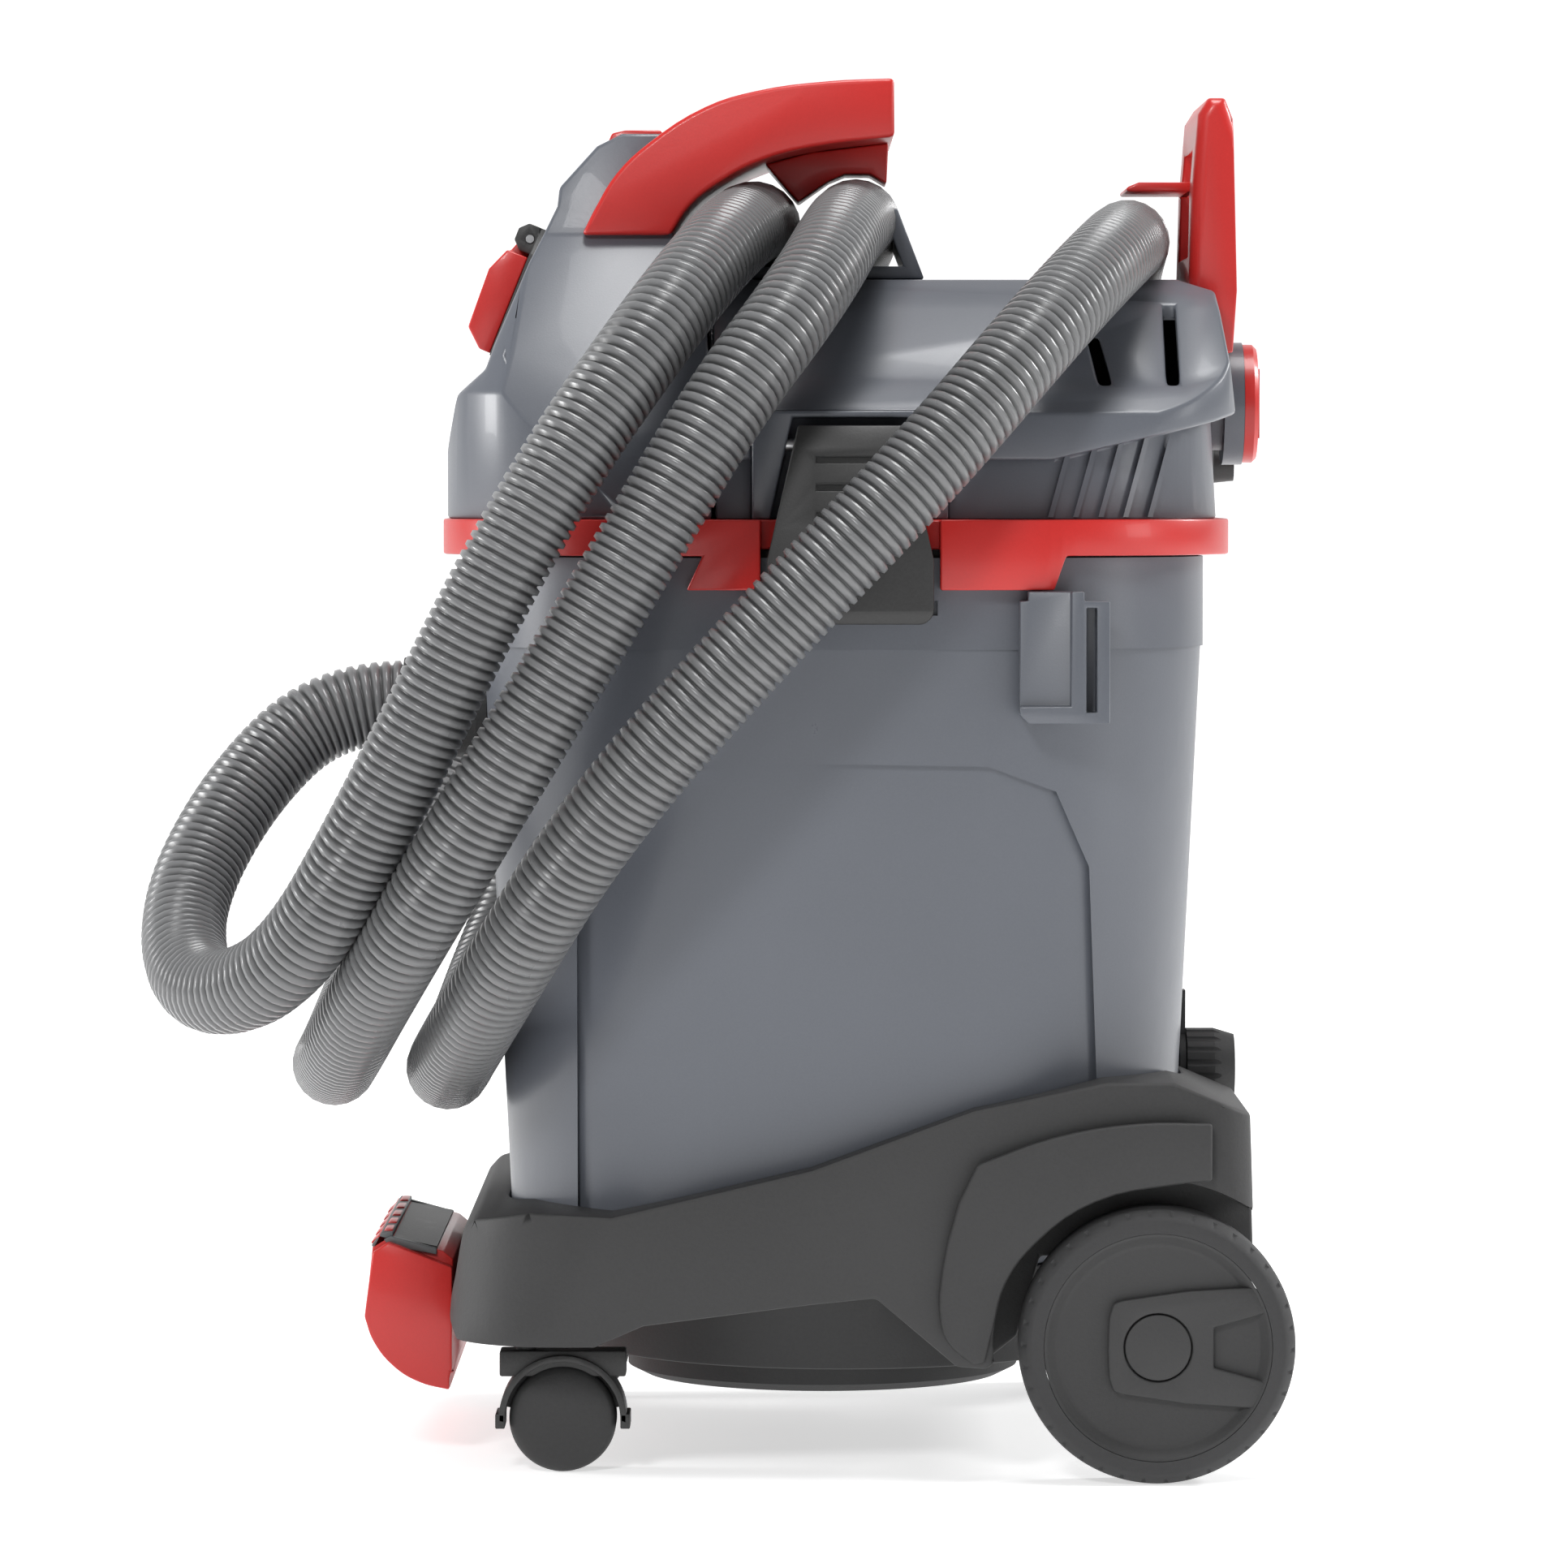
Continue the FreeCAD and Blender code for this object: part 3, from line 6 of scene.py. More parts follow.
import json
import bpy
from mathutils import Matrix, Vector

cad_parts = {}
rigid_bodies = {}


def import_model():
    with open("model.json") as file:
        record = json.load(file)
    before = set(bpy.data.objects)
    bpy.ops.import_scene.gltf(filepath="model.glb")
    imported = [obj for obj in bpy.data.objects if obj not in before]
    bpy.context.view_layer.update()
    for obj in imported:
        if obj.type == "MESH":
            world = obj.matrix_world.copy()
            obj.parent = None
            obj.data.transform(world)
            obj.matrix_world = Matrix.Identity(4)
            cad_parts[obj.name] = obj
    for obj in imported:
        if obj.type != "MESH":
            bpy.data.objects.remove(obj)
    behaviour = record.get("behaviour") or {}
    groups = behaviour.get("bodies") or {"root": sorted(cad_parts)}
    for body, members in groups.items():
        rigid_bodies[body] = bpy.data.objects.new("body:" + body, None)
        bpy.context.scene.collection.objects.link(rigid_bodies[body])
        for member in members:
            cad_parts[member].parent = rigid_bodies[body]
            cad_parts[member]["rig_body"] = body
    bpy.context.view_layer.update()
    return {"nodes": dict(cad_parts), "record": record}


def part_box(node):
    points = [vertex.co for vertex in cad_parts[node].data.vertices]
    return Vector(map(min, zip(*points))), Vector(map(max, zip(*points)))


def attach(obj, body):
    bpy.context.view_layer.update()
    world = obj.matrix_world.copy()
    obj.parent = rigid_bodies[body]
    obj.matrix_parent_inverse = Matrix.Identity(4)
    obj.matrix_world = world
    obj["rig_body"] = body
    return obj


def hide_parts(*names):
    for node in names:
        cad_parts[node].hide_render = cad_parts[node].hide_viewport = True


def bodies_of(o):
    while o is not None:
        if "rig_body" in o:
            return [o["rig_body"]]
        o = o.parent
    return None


bl_info = {
    "name": "Shop Vacuum",
    "version": (1, 0, 0),
    "blender": (4, 5, 0),
    "location": "3D View > Sidebar > Shop Vacuum",
    "description": "Builds a wheeled shop vacuum with its wound hose and moulded finishes",
    "category": "Add Mesh",
}

from math import cos, radians, sin, tau

import bmesh
import bpy
from bpy.props import FloatProperty, FloatVectorProperty, IntProperty, PointerProperty
from mathutils import Matrix, Vector
from mathutils.geometry import intersect_point_line
from mathutils.kdtree import KDTree

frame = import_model()
MM = 0.001

# The hose from the inlet round the tank, three turns over the top, to the cuff on the far side.
HOSE_ROUTE = (
    (-0.2035, 0.0, 0.361), (-0.240, 0.0, 0.361), (-0.284, -0.020, 0.318), (-0.311, -0.060, 0.262),
    (-0.298, -0.120, 0.222), (-0.250, -0.180, 0.238), (-0.206, -0.216, 0.312), (-0.135, -0.232, 0.455),
    (-0.070, -0.200, 0.550), (-0.034, -0.096, 0.596), (-0.025, 0.088, 0.596), (-0.060, 0.196, 0.545),
    (-0.120, 0.230, 0.440), (-0.185, 0.228, 0.310), (-0.228, 0.184, 0.222), (-0.240, 0.080, 0.184),
    (-0.236, -0.080, 0.184), (-0.208, -0.190, 0.232), (-0.158, -0.230, 0.315), (-0.098, -0.232, 0.415),
    (-0.045, -0.222, 0.505), (-0.005, -0.186, 0.558), (0.016, -0.092, 0.597), (0.024, 0.088, 0.597),
    (-0.004, 0.196, 0.548), (-0.066, 0.230, 0.450), (-0.122, 0.228, 0.330), (-0.166, 0.184, 0.226),
    (-0.180, 0.080, 0.182), (-0.182, -0.080, 0.182), (-0.154, -0.190, 0.230), (-0.104, -0.232, 0.312),
    (-0.030, -0.236, 0.395), (0.050, -0.232, 0.478), (0.110, -0.190, 0.548), (0.149, -0.092, 0.587),
    (0.156, 0.088, 0.587), (0.152, 0.190, 0.546), (0.138, 0.230, 0.460), (0.122, 0.232, 0.350),
    (0.112, 0.232, 0.262),
)

# Half of the front bumper's width, in millimetres.
BUMPER_HALF = 97.0

# The finish of each of the record's material slots.
FINISH_OF = {
    "body_grey": "body_grey_satin", "charcoal": "charcoal_grained", "red": "red_satin",
    "black": "black_nylon", "tyre_black": "tyre_rubber", "gasket": "gasket_rubber",
    "clear_grey": "clear_grey_float", "steel": "drawn_steel", "motor_metal": "motor_zinc",
    "foam": "filter_foam", "hose_grey": "hose_wall",
}

# Millimetres of rounding on each moulding's edges.
ROUNDED = {
    "front_tower": 1.6, "rear_cover": 1.6, "head_base": 1.2, "chassis": 1.6, "latch_seats": 1.0,
    "lid_band": 1.0, "rear_post": 1.0, "tool_brackets": 0.7,
    "latch_near": 0.9, "latch_far": 0.9, "socket_flap": 0.9, "socket_base": 0.6, "hose_trough": 1.0,
    "hose_keeper": 1.0,
}

# Name, place, width of the soft box in metres, and watts.
LIGHTS = (
    ("key", (-1.1, -3.4, 2.6), 0.7, 54),
    ("fill", (3.4, -1.2, 0.9), 0.9, 16),
    ("top", (0.2, -0.3, 2.8), 1.0, 46),
    ("left_rim", (-2.6, 0.2, 0.8), 0.6, 34),
    ("right_rim", (2.5, 1.0, 1.6), 0.6, 40),
)


# ---------------------------------------------------------------- settings

class VacuumSizes(bpy.types.PropertyGroup):
    """Sizes of the pieces that the scene adds to the CAD model."""

    hose_radius: FloatProperty(
        name="Hose radius", description="Radius over the hose's ribs", default=0.0205, unit="LENGTH")
    hose_groove: FloatProperty(
        name="Hose groove", description="Depth of the grooves between ribs", default=0.0021,
        unit="LENGTH")
    rib_count: IntProperty(
        name="Hose ribs", description="Number of ribs along the whole hose", default=900, min=10)
    tread_notches: IntProperty(
        name="Tread notches", description="Notches round each rear tyre", default=38, min=8)


class VacuumColours(bpy.types.PropertyGroup):
    """Base colours of the finishes."""

    body: FloatVectorProperty(
        name="Body", description="Blue-grey tank and head", subtype="COLOR", size=3,
        default=(0.110, 0.119, 0.139))
    red: FloatVectorProperty(
        name="Red", description="Handle, band, post and bumper", subtype="COLOR", size=3,
        default=(0.53, 0.020, 0.017))
    charcoal: FloatVectorProperty(
        name="Charcoal", description="Chassis and wheels", subtype="COLOR", size=3,
        default=(0.028, 0.028, 0.0285))
    black: FloatVectorProperty(
        name="Black", description="Latches, socket and cuffs", subtype="COLOR", size=3,
        default=(0.030, 0.030, 0.030))
    hose: FloatVectorProperty(
        name="Hose", description="Grey of the suction hose", subtype="COLOR", size=3,
        default=(0.142, 0.144, 0.147))


class VacuumView(bpy.types.PropertyGroup):
    """Where the camera stands and how far it sees."""

    distance: FloatProperty(
        name="Distance", description="From the machine's middle to the camera", default=3.5,
        unit="LENGTH")
    height: FloatProperty(
        name="Camera height", description="Height of the camera over the floor", default=0.471,
        unit="LENGTH")
    aim_height: FloatProperty(
        name="Aim height", description="Height that the camera looks at", default=0.3206, unit="LENGTH")
    aim_side: FloatProperty(
        name="Aim side", description="Where along the machine the camera looks", default=-0.0165,
        unit="LENGTH")
    lens: FloatProperty(name="Lens", description="Focal length in millimetres", default=163.0, min=10.0)


class VacuumSettings(bpy.types.PropertyGroup):
    """Everything that a user would change."""

    sizes: PointerProperty(type=VacuumSizes)
    colours: PointerProperty(type=VacuumColours)
    view: PointerProperty(type=VacuumView)


# ---------------------------------------------------------------- shader helpers

class Value:
    """A value in a material's node tree; arithmetic on it adds Math nodes."""

    def __init__(self, finish, socket):
        self.finish = finish
        self.socket = socket

    def joined(self, operation, first, second):
        return self.finish.add("ShaderNodeMath", {"operation": operation}, {0: first, 1: second})

    def __add__(self, other):
        return self.joined("ADD", self, other)

    def __sub__(self, other):
        return self.joined("SUBTRACT", self, other)

    def __rsub__(self, other):
        return self.joined("SUBTRACT", other, self)

    def __mul__(self, other):
        return self.joined("MULTIPLY", self, other)

    __radd__ = __add__
    __rmul__ = __mul__


class Finish:
    """A material built round one Principled shader."""

    def __init__(self, name):
        self.material = bpy.data.materials.new(name)
        self.material.use_nodes = True
        self.tree = self.material.node_tree
        self.shader = self.tree.nodes["Principled BSDF"]

    def add(self, kind, settings=None, sockets=None, output=0):
        """A new node: its settings first, then the values or links of its sockets."""
        made = self.tree.nodes.new(kind)
        for setting, value in (settings or {}).items():
            setattr(made, setting, value)
        for name, value in (sockets or {}).items():
            self.feed(made.inputs[name], value)
        return Value(self, made.outputs[output])

    def feed(self, socket, value):
        if isinstance(value, Value):
            self.tree.links.new(value.socket, socket)
        else:
            socket.default_value = value

    def set(self, **sockets):
        """Feed the Principled shader's sockets, named with underscores for spaces."""
        for name, value in sockets.items():
            self.feed(self.shader.inputs[name.replace("_", " ")], value)

    def place(self):
        return self.add("ShaderNodeTexCoord", output="Object")

    def noise(self, scale, detail=2.0, roughness=0.5, stretch=(1, 1, 1)):
        """Noise of that many lumps to the metre, squeezed or stretched along the axes."""
        spread = self.add("ShaderNodeVectorMath", {"operation": "MULTIPLY"},
                          {0: self.place(), 1: stretch})
        return self.add("ShaderNodeTexNoise", sockets={
            "Vector": spread, "Scale": scale, "Detail": detail, "Roughness": roughness})

    def between(self, factor, low, high):
        """A colour from low to high as factor goes from 0 to 1."""
        return self.add("ShaderNodeMix", {"data_type": "RGBA"}, {0: factor, 6: (*low, 1), 7: (*high, 1)},
                        output=2)

    def stepped(self, value, low, high):
        """0 below low, 1 above high, and smooth between."""
        return self.add("ShaderNodeMapRange", {"interpolation_type": "SMOOTHSTEP"}, {
            "Value": value, "From Min": low, "From Max": high})

    def bumped(self, height, distance, strength=1.0):
        return self.add("ShaderNodeBump",
                        sockets={"Height": height, "Distance": distance, "Strength": strength})


def shaded(colour, amount):
    return tuple(part * amount for part in colour)


def moulded(name, colour, roughness, grain=900.0, depth=0.00006, contrast=0.08, scuffs=0.15, **plain):
    """Injection-moulded plastic: eroded grain, cloudy flow, a few light scuffs and settled dust."""
    finish = Finish(name)
    fine = finish.noise(grain, 3.0, 0.6)
    cloud = finish.noise(7.0, 2.0)
    rubbed = finish.stepped(finish.noise(38.0, 4.0, 0.65, (1, 1, 0.35)), 0.62, 0.78)
    tone = finish.stepped(0.55 * cloud + 0.45 * fine, 0.30, 0.70)
    base = finish.between(tone, shaded(colour, 1 - contrast), shaded(colour, 1 + contrast))
    finish.set(Base_Color=base,
               Roughness=roughness + (cloud - 0.5) * 0.10 + (fine - 0.5) * 0.12 - rubbed * scuffs * 0.4,
               Normal=finish.bumped(fine, depth))
    for socket, value in plain.items():
        finish.set(**{socket: value})
    return finish.material


def hose_plastic(name, colour):
    """Blown hose wall: glossy crests, painted lighter as a painted highlight, with painted shade down in the
    grooves.
    """
    finish = Finish(name)
    crest = finish.add("ShaderNodeAttribute", {"attribute_name": "crest"}, output="Fac")
    cloud = finish.noise(16.0, 3.0)
    fine = finish.noise(700.0, 2.0)
    # By the crest attribute the grooves are painted down to 0.40 of the colour and the crests up to 1.15:
    # painted shade in the grooves and a painted highlight on the crests; the cloud adds random tone.
    tone = finish.stepped(crest * 0.75 + cloud * 0.30, 0.05, 0.95)
    finish.set(Base_Color=finish.between(tone, shaded(colour, 0.40), shaded(colour, 1.15)),
               Roughness=0.40 - crest * 0.12 + (cloud - 0.5) * 0.14,
               Normal=finish.bumped(fine, 0.00003))
    return finish.material


def machined(name, colour, roughness, stretch=(1, 1, 40)):
    """Turned or drawn metal with fine lines."""
    finish = Finish(name)
    lines = finish.noise(60.0, 3.0, 0.6, stretch)
    finish.set(Base_Color=finish.between(lines, shaded(colour, 0.85), shaded(colour, 1.05)), Metallic=1.0,
               Roughness=roughness + (lines - 0.5) * 0.2, Normal=finish.bumped(lines, 0.00002))
    return finish.material


def open_foam(name, colour):
    """Open-cell filter foam, with painted shade in its pores."""
    finish = Finish(name)
    cells = finish.add("ShaderNodeTexVoronoi", sockets={"Vector": finish.place(), "Scale": 420.0})
    # The cells' pits, which the bump also sinks, are painted down to half the colour: painted shade in the
    # pores.
    finish.set(Base_Color=finish.between(cells * 1.4, shaded(colour, 0.5), colour), Roughness=0.92,
               Normal=finish.bumped(cells, 0.0008))
    return finish.material


# ---------------------------------------------------------------- mesh helpers

def settings():
    return bpy.context.scene.vacuum


def piece(name, bm, body, finish, replaced=(), sharp=35):
    """A mesh object made of bm in its place, with its finish, its body and the CAD nodes it stands for."""
    mesh = bpy.data.meshes.new(name)
    bm.to_mesh(mesh)
    bm.free()
    mesh.shade_smooth()
    if sharp is not None:
        mesh.set_sharp_from_angle(angle=radians(sharp))
    made = bpy.data.objects.new(name, mesh)
    bpy.context.scene.collection.objects.link(made)
    mesh.materials.append(bpy.data.materials[finish])
    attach(made, body)
    if replaced:
        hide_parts(*replaced)
    return made


def body_of(node):
    """The name of the body that a CAD node belongs to."""
    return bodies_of(frame["nodes"][node])[0]


def finish_of(node):
    """The material slot and the finish of a CAD node."""
    slot = next(part["material_slot"] for part in frame["record"]["subparts"] if part["node"] == node)
    return slot, FINISH_OF[slot]


def spun(profile, steps=64, closed=True):
    """A bmesh turned about Z from (radius, height) corners in millimetres; radius 0 closes on the axis."""
    bm = bmesh.new()
    corners = [bm.verts.new((radius * MM, 0, height * MM)) for radius, height in profile]
    edges = [bm.edges.new(pair) for pair in zip(corners, corners[1:])]
    if closed:
        edges.append(bm.edges.new((corners[-1], corners[0])))
    bmesh.ops.spin(bm, geom=corners + edges, cent=(0, 0, 0), axis=(0, 0, 1), angle=tau, steps=steps,
                   use_merge=True)
    bmesh.ops.remove_doubles(bm, verts=bm.verts, dist=1e-6)
    bmesh.ops.recalc_face_normals(bm, faces=bm.faces)
    return bm


def slab(outline, low, high, holes=(), turn=None, rounding=0.0, segments=2):
    """A plate of that outline in millimetres, from low to high along its own Z, its edges rounded."""
    bm = bmesh.new()
    edges = []
    for loop in (outline, *holes):
        corners = [bm.verts.new((x * MM, y * MM, low * MM)) for x, y in loop]
        edges += [bm.edges.new(pair) for pair in zip(corners, corners[1:] + corners[:1])]
    bmesh.ops.triangle_fill(bm, edges=edges, use_beauty=True, use_dissolve=False)
    raised = bmesh.ops.extrude_face_region(bm, geom=bm.faces[:], use_keep_orig=True)["geom"]
    bmesh.ops.translate(bm, vec=(0, 0, (high - low) * MM),
                        verts=[v for v in raised if isinstance(v, bmesh.types.BMVert)])
    bmesh.ops.recalc_face_normals(bm, faces=bm.faces)
    bmesh.ops.dissolve_limit(bm, angle_limit=radians(0.5), verts=bm.verts, edges=bm.edges)
    if turn is not None:
        bmesh.ops.transform(bm, matrix=turn, verts=bm.verts)
    if rounding:
        soften(bm, rounding, segments)
    bmesh.ops.recalc_face_normals(bm, faces=bm.faces)
    return bm


def soften(bm, width, segments=2, sharpest=28):
    """Round every edge that is sharper than that many degrees."""
    edges = [edge for edge in bm.edges if edge.is_manifold and edge.calc_face_angle(0) > radians(sharpest)]
    bmesh.ops.bevel(bm, geom=edges, offset=width * MM, offset_type="OFFSET", segments=segments,
                    profile=0.5,
                    affect="EDGES", clamp_overlap=False, material=-1, loop_slide=True)


def upright(y=0.0):
    """Turns a slab drawn in X and Z, so that its own Z runs along -Y from y."""
    return Matrix.Translation((0, y * MM, 0)) @ Matrix.Rotation(radians(90), 4, "X")


def joined(*parts):
    """One bmesh out of several."""
    whole = bmesh.new()
    for part in parts:
        mesh = bpy.data.meshes.new("part")
        part.to_mesh(mesh)
        part.free()
        whole.from_mesh(mesh)
        bpy.data.meshes.remove(mesh)
    return whole


def curved(points, steps=6):
    """Corners of a smooth line through given points, by way of a Bezier curve."""
    curve = bpy.data.curves.new("outline", "CURVE")
    curve.dimensions = "3D"
    curve.resolution_u = steps
    spline = curve.splines.new("BEZIER")
    spline.bezier_points.add(len(points) - 1)
    for knot, (x, y) in zip(spline.bezier_points, points):
        knot.co = (x, y, 0)
        knot.handle_left_type = knot.handle_right_type = "AUTO"
    held = bpy.data.objects.new("outline", curve)
    bpy.context.scene.collection.objects.link(held)
    bpy.context.view_layer.update()
    line = bpy.data.meshes.new_from_object(held)
    found = [(vertex.co.x, vertex.co.y) for vertex in line.vertices]
    bpy.data.objects.remove(held)
    return found


def ring(radius, count, centre=(0, 0)):
    """Corners of a circle."""
    return [(centre[0] + radius * cos(tau * step / count), centre[1] + radius * sin(tau * step / count))
            for step in range(count)]


def arc(radius, first, last, step):
    """Corners of an arc about the origin, at angles stepped in whole degrees."""
    return [(radius * cos(radians(turn)), radius * sin(radians(turn))) for turn in range(first, last, step)]


# ---------------------------------------------------------------- operators

class VACUUM_OT_finishes(bpy.types.Operator):
    """Make the finishes and put them on the CAD model's pieces"""

    bl_idname = "vacuum.finishes"
    bl_label = "Finishes"

    def execute(self, context):
        colours = settings().colours
        moulded("body_grey_satin", colours.body, 0.36, 1100.0, 0.00003, 0.05, 0.2, Coat_Weight=0.06)
        moulded("charcoal_grained", colours.charcoal, 0.60, 620.0, 0.00014, 0.16, 0.1)
        moulded("red_satin", colours.red, 0.36, 1100.0, 0.00003, 0.05, 0.2, Coat_Weight=0.10)
        moulded("black_nylon", colours.black, 0.5, 800.0, 0.00008, 0.2, 0.2)
        moulded("bumper_grey", (0.105, 0.112, 0.115), 0.5, 900.0, 0.00006, 0.1, 0.2)
        moulded("tyre_rubber", (0.030, 0.030, 0.031), 0.70, 500.0, 0.00012, 0.16, 0.3)
        moulded("gasket_rubber", (0.012, 0.012, 0.012), 0.8, 700.0, 0.00008, 0.2)
        moulded("clear_grey_float", (0.42, 0.44, 0.46), 0.25, 300.0, 0.00002, 0.04, Coat_Weight=0.2)
        machined("drawn_steel", (0.62, 0.62, 0.63), 0.32)
        machined("motor_zinc", (0.50, 0.51, 0.52), 0.40, (40, 40, 1))
        open_foam("filter_foam", (0.10, 0.10, 0.11))
        hose_plastic("hose_wall", colours.hose)
        for node in frame["nodes"].values():
            for slot in node.material_slots:
                slot.material = bpy.data.materials[FINISH_OF[slot.material.name.split(".")[0]]]
        return {"FINISHED"}


class VACUUM_OT_mouldings(bpy.types.Operator):
    """Round the mouldings' edges on merged copies, and make the handle's arch and the raised fenders"""

    bl_idname = "vacuum.mouldings"
    bl_label = "Mouldings"

    def execute(self, context):
        for node, width in ROUNDED.items():
            bm = bmesh.new()
            bm.from_mesh(frame["nodes"][node].data)
            bmesh.ops.remove_doubles(bm, verts=bm.verts, dist=2e-6)
            bmesh.ops.dissolve_limit(bm, angle_limit=radians(0.8), verts=bm.verts, edges=bm.edges)
            soften(bm, width)
            slot, finish = finish_of(node)
            piece(f"{node}_moulding", bm, body_of(node), finish, [node], 32)

        over = curved([(-113.5, 588), (-106.6, 601.7), (-96.9, 617.3), (-81.3, 632.1), (-54, 649.4),
                       (-30.5, 656.8), (4.6, 661.6), (36.3, 663)], 4)
        under = curved([(36.5, 635), (-3.5, 630), (-26.5, 624), (-46.5, 614), (-61.5, 602),
                        (-71, 588)], 4)
        arch = slab(over + under, -86, 86, turn=upright(), rounding=2.2, segments=3)
        lip = slab([(-104, 627), (-99.5, 637.5), (-93, 639), (-76, 639), (-70, 630), (-80, 626)], -66, 66,
                   turn=upright(), rounding=1.0)
        piece("handle_arch", joined(arch, lip), "machine", "red_satin", ["carry_handle"], 40)

        fender = curved([(74, 150.3), (110, 163), (150, 169.5), (184, 169.5)], 4)
        fender += curved([(184, 142.5), (166.8, 140.8), (128.9, 132.5), (102.4, 114.3), (87.2, 94.3),
                          (81.6, 73.4), (77.8, 57.4)], 4)
        fender += curved([(72.1, 56.3), (60.7, 66.1), (57, 75.4), (58.1, 103.7), (65.3, 132.2)], 4)
        for side, way in (("near", -1), ("far", 1)):
            panel = slab(fender, *sorted((-way * 184, -way * 189.2)), turn=upright(), rounding=1.6,
                         segments=3)
            piece(f"fender_{side}", panel, "machine", "charcoal_grained", (), 40)
        return {"FINISHED"}


class VACUUM_OT_wheels(bpy.types.Operator):
    """Make the rear wheels: notched tyre, dished disc, raised cover and hub cap"""

    bl_idname = "vacuum.wheels"
    bl_label = "Rear wheels"

    def execute(self, context):
        notches = settings().sizes.tread_notches
        cover = [(-23.5, 0), (-23, 14), (-21, 20.5), (-17, 22), (14, 26.5), (45, 28.5), (48, 25),
                 (51.5, 16.5), (26, 9.5)]
        cover += [(x, -y) for x, y in reversed(cover[1:])]
        for side, way in (("near", -1), ("far", 1)):
            low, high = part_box(f"tyre_{side}")
            centre = (low + high) / 2
            inner = max(low.y * way, high.y * way) - 0.034
            upended = Matrix.Rotation(radians(-90 * way), 4, "X")
            turn = Matrix.Translation((centre.x, way * inner, centre.z)) @ upended
            body = f"wheel_{side}_body"

            tyre = spun([(53.6, 33.8), (59, 34), (60, 33.5), (61.6, 32), (64, 28.6), (64.8, 25), (65, 20),
                         (65, 7), (64.6, 3.5), (62.5, 0.8), (60, 0), (53.6, 1)], steps=4 * notches)
            shoulder = [face for face in tyre.faces if abs(face.calc_center_median().z - 0.0303) < 0.0006]
            shoulder.sort(key=lambda face: -face.calc_center_median().to_2d().angle_signed(Vector((1, 0)), 0))
            bmesh.ops.inset_individual(tyre, faces=shoulder[::4], thickness=0.0009, depth=-0.0007,
                                       use_even_offset=True)
            bmesh.ops.transform(tyre, matrix=turn, verts=tyre.verts)
            piece(f"tyre_{side}_notched", tyre, body, "tyre_rubber", [f"tyre_{side}"], 50)

            disc = spun([(6.2, 4), (22, 4), (22, 14), (53.4, 14), (53.4, 33.2), (52.6, 33.0),
                         (51.6, 32.2), (48.6, 29.2), (47.6, 28.7), (46, 28.5), (6.2, 28.5)], steps=128)
            bmesh.ops.transform(disc, matrix=turn, verts=disc.verts)
            piece(f"wheel_disc_{side}", disc, body, "charcoal_grained", [f"rim_{side}"], 40)

            raised = slab(cover, 28.3, 32.6, holes=[ring(16.1, 48)], rounding=1.1, segments=3)
            bmesh.ops.transform(raised, matrix=turn, verts=raised.verts)
            piece(f"wheel_badge_{side}", raised, body, "charcoal_grained",
                  [f"wheel_cover_{side}"], 40)

            cap = spun([(0, 28.3), (15.5, 28.3), (15.5, 31.9), (15.2, 32.4), (14.6, 32.6), (0, 32.8)],
                       steps=64, closed=False)
            bmesh.ops.transform(cap, matrix=turn, verts=cap.verts)
            piece(f"hub_disc_{side}", cap, body, "charcoal_grained", [f"hub_cap_{side}"], 40)
        return {"FINISHED"}


class VACUUM_OT_casters(bpy.types.Operator):
    """Make the twin-wheel casters under the nose"""

    bl_idname = "vacuum.casters"
    bl_label = "Casters"

    def execute(self, context):
        dome = [(0, 2.0), (24.4, 2.0), (25.3, 3.2), (25.5, 5.5), (25.2, 8.2), (24.0, 10.4), (21.5, 12.0),
                (17.0, 12.9), (10.0, 13.4), (0, 13.7)]
        for side in ("near", "far"):
            low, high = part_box(f"caster_wheel_{side}")
            centre = (low + high) / 2
            axle = Matrix.Translation(centre) @ Matrix.Rotation(radians(90), 4, "X")
            halves = [spun(dome, steps=96, closed=False),
                      spun([(radius, -height) for radius, height in dome], steps=96, closed=False)]
            wheel = joined(*halves)
            bmesh.ops.recalc_face_normals(wheel, faces=wheel.faces)
            bmesh.ops.transform(wheel, matrix=axle, verts=wheel.verts)
            piece(f"caster_discs_{side}", wheel, f"caster_wheel_{side}_body",
                  "charcoal_grained", [f"caster_wheel_{side}"], 40)

            arch = slab(arc(30.4, -4, 185, 6) + arc(27.4, 184, -5, -6), -12.5, 12.5, rounding=0.5)
            web = slab(arc(27.6, 10, 171, 8) + [(-5, 0), (5, 0)], -1.6, 1.6)
            neck = slab([(-30, 20), (30, 20), (30, 32.2), (-30, 32.2)], -9, 9, rounding=1.0)
            claws = [slab([(way * 27.4, -4.5), (way * 32.0, -4.5), (way * 32.0, 2.5), (way * 27.4, 2.5)],
                          -12.5, 12.5, rounding=0.6) for way in (-1, 1)]
            hood = joined(arch, web, neck, *claws)
            bmesh.ops.recalc_face_normals(hood, faces=hood.faces)
            bmesh.ops.transform(hood, matrix=axle, verts=hood.verts)
            stem = spun([(0, 57), (4.9, 57), (4.9, 90), (0, 90)], steps=32, closed=False)
            bmesh.ops.translate(stem, vec=(centre.x - 0.018, centre.y, 0), verts=stem.verts)
            piece(f"caster_fork_{side}", joined(hood, stem), f"caster_{side}_body",
                  "black_nylon", [f"caster_hood_{side}"], 40)
        return {"FINISHED"}


